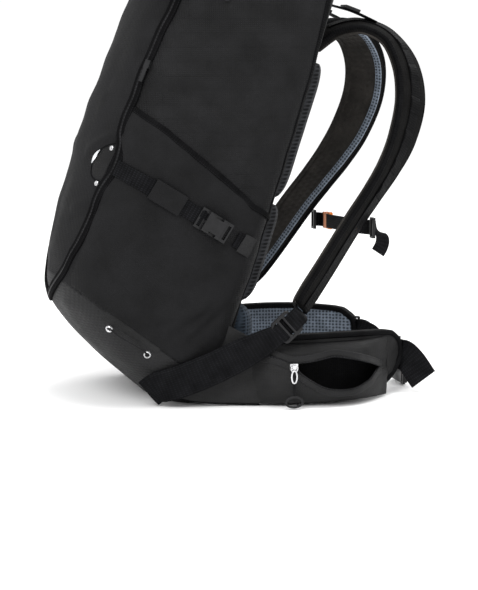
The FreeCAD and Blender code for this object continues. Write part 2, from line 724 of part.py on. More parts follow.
def pocket_slider():
    """Slider body on the mouth's upper edge, and its swinging tab with a cord and a finger loop."""
    long_, wide, high = dim("slider_long"), dim("slider_wide"), dim("slider_high")
    at = vec(26, wing_plan(32) - dim("wing_thick") / 2 - 1.2 - 25.3, 53.6)
    y_out = at.y - 1.2
    body = Part.makeBox(long_, high, wide, Vector(at.x - long_ / 2, y_out - high, at.z - wide / 2))
    lug = Part.makeBox(5, 3.2, 4.4, Vector(at.x - 2.5, y_out - high - 3.0, at.z - 2.2))
    lug = lug.cut(Part.makeCylinder(1.2, 20, Vector(at.x - 10, y_out - high - 1.3, at.z), Vector(1, 0, 0)))
    pair("pocket_slider", body.fuse(lug).removeSplitter())
    pivot = Vector(at.x, y_out - high - 1.3, at.z)
    pin = Part.makeCylinder(1.0, 8.4, pivot + Vector(-4.2, 0, 0), Vector(1, 0, 0))
    tab = Part.makeBox(8.4, dim("tab_thick"), dim("tab_long"),
                       Vector(at.x - 4.2, pivot.y - 0.9, pivot.z - dim("tab_long") - 3.2))
    cheeks = [Part.makeBox(1.4, dim("tab_thick"), 4.4, Vector(x, pivot.y - 0.9, pivot.z - 3.4))
              for x in (at.x - 4.2, at.x + 2.8)]
    hole = Part.makeCylinder(1.6, 10, Vector(at.x, pivot.y - 4, pivot.z - dim("tab_long") + 0.4), Vector(0, 1, 0))
    tab = tab.fuse(pin).fuse(cheeks[0]).fuse(cheeks[1]).cut(hole)
    loop_r, loop_z = dim("cord_loop_dia") / 2, dim("cord_loop_low")
    cord_top = pivot.z - dim("tab_long") - 1.5
    cord = Part.makeCylinder(dim("pull_cord_dia") / 2, cord_top - loop_z - loop_r,
                             Vector(at.x, pivot.y, loop_z + loop_r), Vector(0, 0, 1))
    loop = Part.makeTorus(loop_r, dim("loop_bead_dia") / 2, Vector(at.x, pivot.y, loop_z), Vector(0, 1, 0))
    pair("pull_tab", tab.fuse(cord).fuse(loop).removeSplitter())


def band(points, widths, wide, thick):
    """Webbing through points; `widths` gives the direction of its width at each."""
    sections = []
    for i, (point, across) in enumerate(zip(points, widths)):
        tangent = (points[min(i + 1, len(points) - 1)] - points[max(i - 1, 0)]).normalize()
        through = tangent.cross(across).normalize() * (thick / 2)
        half = Vector(across).normalize() * (wide / 2)
        corners = [point + half + through, point + half - through, point - half - through,
                   point - half + through]
        sections.append(Part.makePolygon(corners + corners[:1]))
    return Part.makeLoft(sections, True, True)


def belt_webbing():
    """Rings at the wing tips, the belt straps looped round them with loose tails, and the open buckle."""
    wide, thick, up = dim("belt_webbing"), dim("webbing_thick"), Vector(0, 0, 1)
    tip, forward = vec(185, -93, 50), Vector(25, 17, 0).normalize()
    bar_r, reach = dim("belt_bar_dia") / 2, dim("belt_ring_reach")
    bar_at = tip + forward * reach
    side = up.cross(forward)
    ring = Part.makeBox(reach - 1, 3.4, wide + 8)
    ring = ring.cut(Part.makeBox(reach - 4, 9, wide + 3, Vector(3, -3, 2.5)))
    ring.Placement = place_on(tip + forward * 1 - side * 1.7 - up * (wide / 2 + 4), forward, up)
    ring = ring.fuse(Part.makeCylinder(bar_r, wide + 7, bar_at - up * (wide / 2 + 3.5), up))
    pair("belt_ring", ring.removeSplitter())
    sleeve = Part.makeCylinder(bar_r + 0.3 + thick, wide, bar_at - up * (wide / 2), up)
    sleeve = sleeve.cut(Part.makeCylinder(bar_r + 0.3, wide + 4, bar_at - up * (wide / 2 + 2), up))
    inner = band([bar_at + forward * 3.2 + side * 1.6, vec(203, -80.5, 46), vec(212, -71, 38),
                  vec(215.6, -62, 30), vec(215.2, -56, 27)],
                 [up, up, up, up, up], wide, thick)
    tail = band([bar_at + forward * 3.2 - side * 1.6, vec(200, -92, 47), vec(206, -100, 38), vec(212, -105, 29),
                 vec(219, -108, 20)],
                [up, up, Vector(0.25, 0, 1), Vector(0.55, 0, 1), Vector(0.8, 0, 1)], wide, thick)
    pair("belt_strap", Part.makeCompound([sleeve.fuse(inner), tail]))
    body, tongue = side_release(dim("belt_buckle_wide"), dim("belt_buckle_thick"), dim("belt_buckle_long"))
    body.Placement = place_on(vec(209.0, -8.0, 24.6), Vector(0, 1, 0), Vector(1, 0, 0))
    tongue.Placement = place_on(vec(209.0, 37.0, 24.6), Vector(0, 1, 0), Vector(1, 0, 0))
    feature("belt_buckle", body)
    feature("belt_tongue", tongue)


def anchor_straps():
    """The fabric bands that run from under the bag to the ladder locks."""
    lock, along, normal = lock_frame()
    tip = lock - along * 11 - normal * 2.0
    points = [vec(-142, -119, 22), vec(-112, -136, 33), vec(-74, -148, 50), vec(-36, -157, 70),
              vec(-10, -162.5, 84), tip]
    wide = [40, 42, 42, 40, 32, 25]
    pair("anchor_strap", panel_strip(points, wide, 3.0, Vector(0, -1, 0)))


# ---------------------------------------------------------------- chest strap, lifters, handle, trigger
def chest_strap():
    """The chest strap with its two clips on the shoulder straps and its side-release buckle."""
    near, far, thick = Vector(144.2, -119, 219), Vector(135.3, 119, 207), dim("webbing_thick")
    clips = []
    for at in (near, far):
        clip = Part.makeBox(3.6, 13, 26, vec(at.x - 1.6, at.y - 6.5, at.z - 13))
        clip = clip.cut(Part.makeBox(8, 7.4, 21, vec(at.x - 5, at.y - 3.7, at.z - 10.5)))
        clips.append(clip)
    feature("chest_clips", Part.makeCompound(clips))
    up = Vector(0, 0, 1)
    body, tongue = side_release(dim("chest_buckle_wide"), dim("chest_buckle_thick"), dim("chest_buckle_long"))
    slope = Vector(0, 1, -0.05).normalize()
    joint = vec(141.5, 92, 208.3)
    for shape in (body, tongue):
        shape.Placement = place_on(joint, slope, Vector(1, 0, 0))
    feature("chest_buckle", body)
    feature("chest_tongue", tongue)
    right = [vec(147.8, -119, 218.9), vec(147.4, -110, 218.4), vec(139.2, -60, 215.9), vec(139.2, 0, 212.9),
             vec(139.2, 68, 209.5)]
    left = [joint + slope * 10 + Vector(4.3, 0, 0), vec(142.6, 111, 207.5), vec(139.5, 119, 207.1)]
    wide = dim("side_webbing") - 1.0
    tail = [vec(150.8, -113, 215.5), vec(152.4, -121, 210), vec(151, -125, 203), vec(147, -127, 193),
            vec(143, -127.5, 186)]
    turns = [up, Vector(0.5, 0, 1), Vector(0.8, 0, 0.6), Vector(0.85, 0, 0.5), Vector(0.85, 0, 0.5)]
    loose = band(tail, turns, wide, thick)
    feature("chest_webbing", Part.makeCompound([band(right, [up] * len(right), wide, thick),
                                                band(left, [up] * len(left), wide, thick), loose]))


def load_lifters():
    """Short straps from the top of the bag's back to the shoulder straps, and the haul handle."""
    face = Vector(0.3, 0, 1).normalize()
    route = [vec(back_line(503, 1.6), -62, 503), vec(118, -62, 496.5), vec(143, -64, 488), vec(163, -67, 478.5)]
    both_sides("load_lifters", [band(route, [Vector(0, 1, 0)] * 4, dim("side_webbing"), dim("webbing_thick"))])
    frame = Part.makeBox(20, 26, 3.4, Vector(-10, -13, -1.7))
    for x in (-7.5, -1.8, 3.9):
        frame = frame.cut(Part.makeBox(3.6, 21, 9, Vector(x, -10.5, -4)))
    frame.Placement = place_on(vec(130, -63, 495.6), Vector(0.94, 0, -0.34), face)
    both_sides("lifter_buckles", [frame])
    steps = [(-38, 492), (-37, 508), (-32, 526), (-18, 538), (0, 541), (18, 538), (32, 526), (37, 508), (38, 492)]
    points = [vec(100.8 if z > 515 else back_line(z, 3.2), y, z) for y, z in steps]
    across = [Vector(0, 0, 0)] * len(points)
    for i, point in enumerate(points):
        tangent = points[min(i + 1, 8)] - points[max(i - 1, 0)]
        across[i] = Vector(1, 0, 0).cross(tangent).normalize()
    feature("haul_handle", band(points, across, dim("handle_wide"), 3.0))


def strap_spot(index):
    """A route point of the left shoulder strap, with its downward and outward directions."""
    found = frames(strap_points(), STRAP_TWIST)
    here, below = found[index], found[index + 1]
    along = (below[0] - here[0]).normalize()
    out = (here[2] + below[2]).normalize()
    return [Vector(v.x, -v.y, v.z) for v in (here[0], along, out)]


def trigger():
    """The airbag's pull grip and its sleeve on the left strap."""
    point, along, out = strap_spot(5)
    radius = dim("grip_dia") / 2
    base = point + out * (dim("strap_thick") / 2 + radius + 3.4)
    grip = Part.makeCylinder(radius, dim("grip_long"), base, along)
    grip = grip.makeFillet(3, [grip.Edges[0], grip.Edges[2]])
    for step in (18, 30, 42, 54):
        groove = Part.makeTorus(radius + 1.2, 2.2, base + along * step, along)
        grip = grip.cut(groove)
    feature("trigger_grip", grip)
    casing = cylinder("SleeveCasing", "Dimensions.grip_dia / 2 + 2.6", "Dimensions.sleeve_long",
                      base - along * 28, along)
    bore = cylinder("SleeveBore", "Dimensions.grip_dia / 2 + 0.6", "Dimensions.sleeve_long + 10",
                    base - along * 24, along)
    keep(cut_from("trigger_sleeve", casing, bore), "trigger_sleeve")


def zip_sliders():
    """Sliders on the lid zip and on the front zip."""
    long_, wide, high = dim("slider_long"), dim("slider_wide"), dim("slider_high")
    at = vec(-52, -139.9, 526.5)
    body = Part.makeBox(long_, high, wide, at - Vector(long_ / 2, high, wide / 2))
    tab = Part.makeBox(5, 1.6, 20, at - Vector(2.5, high - 1, 22))
    feature("lid_slider", body.fuse(tab).removeSplitter())
    top, out = side_skin(-138, 440, 0.4)
    low, _ = side_skin(-166, 370, 0.4)
    along = (low - top).normalize()
    body = Part.makeBox(long_, wide, high, Vector(-long_ / 2, -wide / 2, 0))
    tab = Part.makeBox(20, 5, 1.6, Vector(3, -2.5, 2.4))
    slider = body.fuse(tab).removeSplitter()
    middle = top + (low - top) * 0.18 + out * (dim("zip_thick") + 1.4)
    slider.Placement = place_on(middle, along, out)
    feature("front_slider", slider)


bag_panels()
harness_frame()
lid()
airbag()
shoulder_straps()
ladder_lock()
trim()
pole_holders()
compression()
hip_wing()
hip_pocket()
pocket_slider()
belt_webbing()
anchor_straps()
chest_strap()
load_lifters()
trigger()
zip_sliders()
doc.recompute()

os.makedirs("parts", exist_ok=True)
for label, obj in SUBPARTS.items():
    if "Invalid" in obj.State or "Error" in obj.State or obj.Shape.isNull() or not obj.Shape.isValid():
        raise SystemExit(f"sub-part {label} failed: {obj.State}")
    obj.Shape.exportStep(f"parts/{label}.step")
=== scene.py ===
import bmesh
import bpy
import math
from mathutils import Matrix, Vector, noise


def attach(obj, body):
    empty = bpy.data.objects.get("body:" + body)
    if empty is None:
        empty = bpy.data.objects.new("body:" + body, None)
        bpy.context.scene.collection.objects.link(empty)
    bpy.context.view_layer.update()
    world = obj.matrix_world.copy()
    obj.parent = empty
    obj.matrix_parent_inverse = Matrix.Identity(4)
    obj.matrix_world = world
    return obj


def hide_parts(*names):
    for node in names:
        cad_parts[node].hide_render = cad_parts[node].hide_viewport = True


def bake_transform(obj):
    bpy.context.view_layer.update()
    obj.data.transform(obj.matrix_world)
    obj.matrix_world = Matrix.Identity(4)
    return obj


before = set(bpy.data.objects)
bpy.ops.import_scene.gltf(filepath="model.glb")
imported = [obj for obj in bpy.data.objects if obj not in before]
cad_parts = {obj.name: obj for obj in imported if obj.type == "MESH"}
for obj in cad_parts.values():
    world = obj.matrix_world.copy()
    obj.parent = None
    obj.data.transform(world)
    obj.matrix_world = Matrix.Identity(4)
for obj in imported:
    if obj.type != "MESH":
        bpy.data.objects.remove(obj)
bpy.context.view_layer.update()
SHIFT = 9.7                             # from part.py's X to the frame's X, millimetres
UP = Vector((0, 0, 1))
AHEAD = Vector((1, 0, 0))
OUT_RIGHT = Vector((0, -1, 0))
SIDES = ((-1, "right"), (1, "left"))    # sign of Y, and the tag in the names
VIEW_TURN, VIEW_RISE = -14, 8           # the camera's degrees round the pack and above the floor
VIEW_HEIGHT = 0.7375                    # metres that fill the picture's height at the near side
VIEW_MIDDLE = (-0.00125, 0.120, 0.158)  # right, up and towards the camera from the part's origin, metres
LENS, SENSOR = 120, 36
FLOOR_HALF, FLOOR_Z = 8, -0.0005
LAMPS = (("key", (-1.6, -2.2, 2.4), 60, 1.6), ("top", (0.4, -0.3, 2.6), 45, 2.0),
         ("rim", (1.8, 1.4, 1.6), 12, 1.2))     # name, place, power and size
LAMP_AIM = Vector((0, 0, 0.2))


# ------------------------------------------------------------------ camera, floor and light
def pt(x, y, z):
    """A point in the part's millimetres, before the row-frame shift, as metres."""
    return Vector(((x + SHIFT) / 1000, y / 1000, z / 1000))


def flip(v, side):
    """Mirrors a right-hand vector to the left side."""
    return Vector((v.x, v.y if side < 0 else -v.y, v.z))


def staged(name, data):
    """An object for the studio, in the scene."""
    thing = bpy.data.objects.new(name, data)
    bpy.context.scene.collection.objects.link(thing)
    return thing


def aim(thing, place, direction):
    thing.location = place
    thing.rotation_mode = "QUATERNION"
    thing.rotation_quaternion = direction.to_track_quat("-Z", "Y")


def camera():
    az, el = math.radians(VIEW_TURN), math.radians(VIEW_RISE)
    back = Vector((math.sin(az) * math.cos(el), -math.cos(az) * math.cos(el), math.sin(el)))
    right = Vector((math.cos(az), math.sin(az), 0))
    data = bpy.data.cameras.new("camera")
    data.lens, data.sensor_width = LENS, SENSOR
    cam = staged("camera", data)
    bpy.context.scene.camera = cam
    axes = zip((right, back.cross(right), back), VIEW_MIDDLE)
    near = sum((axis * reach for axis, reach in axes), pt(0, 0, 0))
    aim(cam, near + back * (VIEW_HEIGHT * LENS / SENSOR), -back)


def studio():
    scene = bpy.context.scene
    scene.view_settings.view_transform = "Standard"
    scene.world = bpy.data.worlds.new("studio")
    scene.world.use_nodes = True
    sky = scene.world.node_tree.nodes["Background"].inputs
    sky["Color"].default_value = (1, 1, 1, 1)
    sky["Strength"].default_value = 1.03
    mesh = bpy.data.meshes.new("floor")
    corners = [(x * FLOOR_HALF, y * FLOOR_HALF, FLOOR_Z) for x, y in ((-1, -1), (1, -1), (1, 1), (-1, 1))]
    mesh.from_pydata(corners, [], [(0, 1, 2, 3)])
    mat = bpy.data.materials.new("floor")
    mat.use_nodes = True
    paper = mat.node_tree.nodes["Principled BSDF"].inputs
    paper["Base Color"].default_value = (0.98, 0.98, 0.98, 1)
    paper["Roughness"].default_value = 0.9
    mesh.materials.append(mat)
    staged("floor", mesh)
    for name, place, power, size in LAMPS:
        data = bpy.data.lights.new(name, "AREA")
        data.energy, data.size = power, size
        aim(staged(name, data), place, LAMP_AIM - Vector(place))


# ------------------------------------------------------------------ materials
BAND_SCALE = 0.157 * 2 / 3.1416     # a wave texture's scale times the pitch of its bands in metres


def shade(color, factor):
    return tuple(min(1.0, c * factor) for c in color)


def grey(value):
    return (value,) * 3


class Tree:
    """Small helper for building one material's nodes."""

    def __init__(self, name, uv):
        self.mat = bpy.data.materials.new(name)
        self.mat.use_nodes = True
        self.nodes = self.mat.node_tree.nodes
        self.shader = self.nodes["Principled BSDF"]
        self.vector = self.add("ShaderNodeTexCoord").outputs["UV" if uv else "Object"]

    def add(self, kind, **values):
        node = self.nodes.new(kind)
        for key, value in values.items():
            if hasattr(node, key):
                setattr(node, key, value)
            else:
                node.inputs[key.replace("_", " ")].default_value = value
        return node

    def link(self, source, socket):
        self.mat.node_tree.links.new(source, socket)

    def clouds(self, vector=None, **values):
        """A noise texture's output."""
        node = self.add("ShaderNodeTexNoise", **values)
        self.link(vector or self.vector, node.inputs["Vector"])
        return node.outputs["Fac"]

    def wave(self, pitch, direction, profile="SIN"):
        node = self.add("ShaderNodeTexWave", wave_type="BANDS", bands_direction=direction,
                        wave_profile=profile, Scale=BAND_SCALE / pitch)
        self.link(self.vector, node.inputs["Vector"])
        return node.outputs["Fac"]

    def combine(self, a, b, operation):
        node = self.add("ShaderNodeMath", operation=operation)
        self.link(a, node.inputs[0])
        self.link(b, node.inputs[1])
        return node.outputs[0]

    def ramp(self, source, low, high, at=(0.35, 0.65)):
        node = self.add("ShaderNodeValToRGB")
        for stop, place, color in zip(node.color_ramp.elements, at, (low, high)):
            stop.position = place
            stop.color = (*color, 1)
        self.link(source, node.inputs["Fac"])
        return node.outputs["Color"]

    def multiply(self, base, tone, amount):
        node = self.add("ShaderNodeMixRGB", blend_type="MULTIPLY", Fac=amount)
        self.link(base, node.inputs["Color1"])
        self.link(tone, node.inputs["Color2"])
        return node.outputs["Color"]

    def bump(self, height, distance, strength, before=None):
        node = self.add("ShaderNodeBump", Strength=strength, Distance=distance)
        self.link(height, node.inputs["Height"])
        if before is not None:
            self.link(before, node.inputs["Normal"])
        return node.outputs["Normal"]

    def feed(self, color, normal, rough=None):
        """Links what was made into the shader."""
        for key, source in (("Base Color", color), ("Normal", normal), ("Roughness", rough)):
            if source is not None:
                self.link(source, self.shader.inputs[key])

    def finish(self, **values):
        """Sets the shader's plain inputs and gives the material."""
        for key, value in values.items():
            self.shader.inputs[key.replace("_", " ")].default_value = value
        return self.mat


def fabric(name, color, pitch, uv=False, rough=0.75, sheen=0.0, ripstop=0.0, depth=0.00025, gloss=0.10):
    """Woven cloth: a plain weave, a slow change of shade, an optional ripstop grid, worn highlights."""
    tree = Tree(name, uv)
    upright = "Y" if uv else "Z"
    height = tree.combine(tree.wave(pitch, "X"), tree.wave(pitch, upright), "MULTIPLY")
    cloudy = tree.clouds(Scale=22.0, Detail=4.0, Roughness=0.6)
    fine = tree.clouds(Scale=900.0, Detail=2.0)
    base = tree.ramp(cloudy, shade(color, 0.65), shade(color, 1.35))
    threads = tree.ramp(fine, grey(0.55), grey(1.3), (0.3, 0.7))
    if ripstop:
        lines = tree.combine(tree.wave(ripstop, "X", "SAW"), tree.wave(ripstop, upright, "SAW"), "MAXIMUM")
        height = tree.combine(height, tree.ramp(lines, grey(0), grey(1), (0.86, 0.97)), "ADD")
    normal = tree.bump(fine, depth * 1.2, 0.6, tree.bump(height, depth, 0.8))
    tree.feed(tree.multiply(base, threads, 0.55), normal,
              tree.ramp(cloudy, grey(rough - 0.1), grey(min(1, rough + 0.1))))
    return tree.finish(Sheen_Weight=sheen, Sheen_Roughness=0.45, Specular_IOR_Level=gloss)


def ribbed(name, color, pitch=0.0014, rough=0.62):
    """Nylon webbing: ribs across the band, finer threads along it, a painted highlight on the rib crowns and
    painted shade in the grooves. UV is in metres.
    """
    tree = Tree(name, True)
    height = tree.combine(tree.wave(pitch, "X"), tree.wave(pitch * 0.6, "Y"), "MULTIPLY")
    worn = tree.clouds(Scale=45.0, Detail=5.0, Roughness=0.65)
    base = tree.ramp(worn, shade(color, 0.75), shade(color, 1.5))
    # painted light: the rib crowns are painted lighter with a cool tint, a painted highlight, and the grooves
    # darker, a painted shade
    rib_highlight_and_shade = tree.ramp(height, grey(0.55), (1.5, 1.5, 1.6), (0.1, 0.8))
    tree.feed(tree.multiply(base, rib_highlight_and_shade, 0.7), tree.bump(height, 0.0004, 0.9))
    return tree.finish(Roughness=rough, Specular_IOR_Level=0.03)


def mesh_cloth(name, color, cell=0.0042, dark=0.25):
    """Open spacer mesh: pale rims round cells painted dark, a painted shade in the holes that the bump sinks.
    """
    tree = Tree(name, True)
    cells = tree.add("ShaderNodeTexVoronoi", feature="F1", Scale=1 / cell, Randomness=0.15)
    tree.link(tree.vector, cells.inputs["Vector"])
    depth = cells.outputs["Distance"]
    # painted shade: the cells' middles, sunk by the bump below, are painted darker than the rims
    tone = tree.ramp(depth, shade(color, dark), color, (0.22, 0.46))
    soft = tree.ramp(tree.clouds(Scale=60.0, Detail=3.0), grey(0.6), grey(1.3))
    tree.feed(tree.multiply(tone, soft, 0.5), tree.bump(depth, 0.0012, 1.0))
    return tree.finish(Roughness=0.85, Sheen_Weight=0.03, Specular_IOR_Level=0.12)


def moulded(name, color, rough=0.42, gloss=0.25):
    """Moulded plastic: fine spark grain, faint flow marks."""
    tree = Tree(name, False)
    grain = tree.clouds(Scale=2600.0, Detail=2.0)
    flow = tree.clouds(Scale=55.0, Detail=5.0, Distortion=0.6)
    tree.feed(tree.ramp(flow, shade(color, 0.8), shade(color, 1.35)), tree.bump(grain, 0.00012, 0.5),
              tree.ramp(flow, grey(rough - 0.1), grey(rough + 0.14)))
    return tree.finish(Specular_IOR_Level=gloss)


def metal(name, color, rough=0.3):
    """Satin metal with fine brushing and dull patches."""
    tree = Tree(name, False)
    stretch = tree.add("ShaderNodeMapping", Scale=(1, 1, 14))
    tree.link(tree.vector, stretch.inputs["Vector"])
    brushed = tree.clouds(stretch.outputs["Vector"], Scale=500.0, Detail=3.0)
    dull = tree.clouds(Scale=70.0, Detail=4.0)
    tree.feed(tree.ramp(dull, shade(color, 0.75), shade(color, 1.15)), tree.bump(brushed, 0.00005, 0.4),
              tree.ramp(brushed, grey(rough - 0.08), grey(rough + 0.18)))
    return tree.finish(Metallic=1.0)


MAT = {
    "shell": fabric("shell_fabric", (0.0075, 0.0075, 0.0080), 0.0008, rough=0.72),
    "shell_uv": fabric("cover_fabric", (0.0078, 0.0078, 0.0083), 0.0009, rough=0.7, uv=True),
    "front": fabric("front_fabric", (0.0088, 0.0088, 0.0094), 0.0008, rough=0.68, gloss=0.07),
    "ripstop": fabric("ripstop_fabric", (0.0082, 0.0082, 0.0087), 0.0008, rough=0.6, ripstop=0.0055,
                      depth=0.0005),
    "base": fabric("base_fabric", (0.0135, 0.0135, 0.0140), 0.0013, rough=0.62, sheen=0.004, depth=0.0004,
                   gloss=0.13),
    "base_light": fabric("patch_fabric", (0.0105, 0.0105, 0.0108), 0.0012, rough=0.7, uv=True),
    "wing": fabric("wing_fabric", (0.0105, 0.0105, 0.0108), 0.0010, rough=0.65, sheen=0.002, uv=True,
                   gloss=0.12),
    "wing_light": fabric("pocket_fabric", (0.0130, 0.0130, 0.0133), 0.0010, rough=0.62, sheen=0.004, uv=True,
                         gloss=0.14),
    "tab_cloth": fabric("tab_fabric", (0.0150, 0.0150, 0.0153), 0.0010, rough=0.6, sheen=0.01, uv=True),
    "foam": fabric("strap_fabric", (0.0075, 0.0073, 0.0072), 0.0012, uv=True, rough=0.85,
                   depth=0.0004, gloss=0.03),
    "inner": fabric("strap_lining", (0.0300, 0.0275, 0.0250), 0.0026, uv=True, rough=0.85, sheen=0.01,
                    depth=0.0009),
    # spacer meshes: the last number is how dark the cells are painted, a painted shade in the holes; 0.25
    # where none is given
    "mesh": mesh_cloth("spacer_mesh", (0.050, 0.066, 0.088)),
    "mesh_fine": mesh_cloth("wing_mesh", (0.190, 0.225, 0.275), 0.0044, 0.20),
    "mesh_dark": mesh_cloth("back_mesh", (0.030, 0.031, 0.034), 0.0048, 0.16),
    "webbing": ribbed("webbing", (0.0060, 0.0061, 0.0067)),
    "binding": ribbed("binding_tape", (0.0040, 0.0040, 0.0043), 0.0010),
    "tape": fabric("zip_tape", (0.0040, 0.0040, 0.0043), 0.0009, uv=True, rough=0.8, gloss=0.02),
    "tape_light": fabric("pocket_zip_tape", (0.0075, 0.0075, 0.0080), 0.0008, uv=True, rough=0.5,
                         gloss=0.2),
    "coil": ribbed("zip_coil", (0.0120, 0.0120, 0.0125), 0.0013, 0.4),
    "buckle": moulded("buckle_plastic", (0.0065, 0.0065, 0.0072)),
    "orange": moulded("orange_plastic", (0.80, 0.20, 0.012), 0.36, gloss=0.4),
    "sheet": moulded("sheet_plastic", (0.05, 0.05, 0.053), 0.5),
    "steel": metal("fitting_metal", (0.62, 0.62, 0.63)),
    "alloy": metal("stay_metal", (0.60, 0.61, 0.63), 0.35),
    "bottle": metal("bottle_metal", (0.33, 0.35, 0.38), 0.32),
    "brass": metal("valve_metal", (0.72, 0.54, 0.24), 0.28),
    "airbag": fabric("airbag_fabric", (0.70, 0.17, 0.02), 0.0009, rough=0.55, sheen=0.05, ripstop=0.006),
    "stitch": ribbed("thread", (0.022, 0.022, 0.024), 0.0012, 0.7),
    "cord": ribbed("cord_sheath", (0.0105, 0.0105, 0.0110), 0.0010, 0.6),
    "cord_plain": fabric("cord_cover", (0.0105, 0.0105, 0.0110), 0.0008, rough=0.6),
    "reflector": metal("reflector", (0.80, 0.81, 0.83), 0.42),
}


LOOK_SLOTS = {"binding": "webbing", "webbing": "webbing", "stitch": "webbing", "cord": "webbing",
              "tape": "zip_tape", "tape_light": "zip_tape", "coil": "zip_tape", "steel": "fitting_metal",
              "reflector": "fitting_metal", "buckle": "buckle_plastic"}


# ------------------------------------------------------------------ mesh helpers
def spline(rows, count):
    """Smooth Catmull-Rom values through rows of numbers, evenly spread over the rows."""
    out = []
    last = len(rows) - 1
    for k in range(count):
        s = k * last / (count - 1)
        i = min(int(s), last - 1)
        f = s - i
        p0, p1, p2, p3 = rows[max(i - 1, 0)], rows[i], rows[i + 1], rows[min(i + 2, last)]
        out.append([0.5 * (2 * b + (c - a) * f + (2 * a - 5 * b + 4 * c - d) * f * f
                           + (3 * b - a - 3 * c + d) * f ** 3) for a, b, c, d in zip(p0, p1, p2, p3)])
    return out


def build(name, verts, faces, looks, body="pack", nodes=(), indices=None, uvs=None, slot=None):
    """A mesh piece that rides on a body and may stand for CAD nodes. looks: one name in MAT, or several.

    slot is not used."""
    mesh = bpy.data.meshes.new(name)
    mesh.from_pydata([tuple(v) for v in verts], [], faces)
    for look in (looks,) if isinstance(looks, str) else looks:
        mesh.materials.append(MAT[look])
    if indices:
        mesh.polygons.foreach_set("material_index", indices)
    if uvs:
        layer = mesh.uv_layers.new(name="UVMap")
        for loop in mesh.loops:
            layer.data[loop.index].uv = uvs[loop.vertex_index]
    mesh.polygons.foreach_set("use_smooth", [True] * len(mesh.polygons))
    mesh.validate()
    piece = staged(name, mesh)
    if body:
        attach(piece, body)
    slot or LOOK_SLOTS[looks]
    if nodes:
        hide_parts(*nodes)
    return piece


def thicken(piece, thick, offset=-1):
    """Gives a sheet its thickness, in metres."""
    cloth = piece.modifiers.new("cloth", "SOLIDIFY")
    cloth.thickness = thick
    cloth.offset = offset


def grid_faces(rows, cols):
    """Faces over (rows + 1) by (cols + 1) points."""
    n = cols + 1
    return [(i * n + j, i * n + j + 1, (i + 1) * n + j + 1, (i + 1) * n + j)
            for i in range(rows) for j in range(cols)]


def ring_faces(rings, n, closed=False):
    """Faces between rings of n points each; closed joins the last ring to the first."""
    faces = []
    for i in range(rings if closed else rings - 1):
        k = (i + 1) % rings
        for j in range(n):
            m = (j + 1) % n
            faces.append((i * n + j, i * n + m, k * n + m, k * n + j))
    return faces


def ring_caps(rings, n):
    """The faces that close the first and the last ring."""
    return [tuple(range(n - 1, -1, -1)), tuple((rings - 1) * n + j for j in range(n))]


def tangent_at(points, i):
    return (points[min(i + 1, len(points) - 1)] - points[max(i - 1, 0)]).normalized()


def as_bmesh(verts, faces):
    mesh = bpy.data.meshes.new("draft")
    mesh.from_pydata([tuple(v) for v in verts], [], faces)
    bm = bmesh.new()
    bm.from_mesh(mesh)
    bpy.data.meshes.remove(mesh)
    return bm


def cut_out(faces):
    """Points and faces of a mesh made of some of a bmesh's faces."""
    index, points, polys = {}, [], []
    for face in faces:
        for v in face.verts:
            if v.index not in index:
                index[v.index] = len(points)
                points.append(v.co.copy())
        polys.append([index[v.index] for v in face.verts])
    return points, polys


def rounded(wide, thick, soft=None, steps=4, crown=0.0):
    """A closed band profile: across and out offsets, millimetres, corners rounded, optional crown."""
    half, t = wide / 2, thick / 2
    r = min(soft if soft is not None else t * 0.95, t * 0.98, half * 0.9)
    loop = []
    for cx, cy, start in ((half - r, t - r, 0), (-half + r, t - r, 90), (-half + r, -t + r, 180),
                          (half - r, -t + r, 270)):
        for k in range(steps + 1):
            a = math.radians(start + 90 * k / steps)
            loop.append((cx + r * math.cos(a), cy + r * math.sin(a)))
        if start in (0, 180):       # five points along each flat, so that a crown or wrinkles can bend it
            loop += [(cx * (1 - k / 3), t if start == 0 else -t) for k in range(1, 6)]
    return [(x, y + crown * (1 - (x / half) ** 2) * (1 if y > 0 else 0)) for x, y in loop]


def circle(radius, steps=10):
    return [(radius * math.cos(2 * math.pi * k / steps), radius * math.sin(2 * math.pi * k / steps))
            for k in range(steps)]


def sweep(name, centres, normals, profile, looks, body="pack", nodes=(), scale=None, paint=None, slot=None,
          closed=False, wave_out=None):
    """Carries a closed profile (millimetres) along a route (metres). Normals give the profile's out side.

    scale is a per-section factor across, paint(j) picks the look of the faces after profile point j, and
    wave_out(i, x, y) lifts a point."""
    count, n = len(centres), len(profile)
    verts, uvs = [], []
    run = 0.0
    lengths = [0.0]
    for j in range(n):
        a, b = profile[j], profile[(j + 1) % n]
        lengths.append(lengths[-1] + math.hypot(b[0] - a[0], b[1] - a[1]) / 1000)
    for i, centre in enumerate(centres):
        if closed:
            tangent = (centres[(i + 1) % count] - centres[i - 1]).normalized()
        else:
            tangent = tangent_at(centres, i)
        across = normals[i].cross(tangent).normalized()
        out = tangent.cross(across).normalized()
        if i:
            run += (centre - centres[i - 1]).length
        factor = scale[i] if scale else 1.0
        for j, (x, y) in enumerate(profile):
            push = wave_out(i, x, y) if wave_out else 0.0
            verts.append(centre + across * (x * factor / 1000) + out * ((y + push) / 1000))
            uvs.append((run, lengths[j]))
    faces = ring_faces(count, n, closed)
    painted = len(faces)
    if not closed:
        faces += ring_caps(count, n)
    indices = [paint(k % n) if k < painted else 0 for k in range(len(faces))] if paint else None
    return build(name, verts, faces, looks, body, nodes, indices, uvs, slot)


def route(points, count):
    return [Vector(p) for p in spline([tuple(p) for p in points], count)]


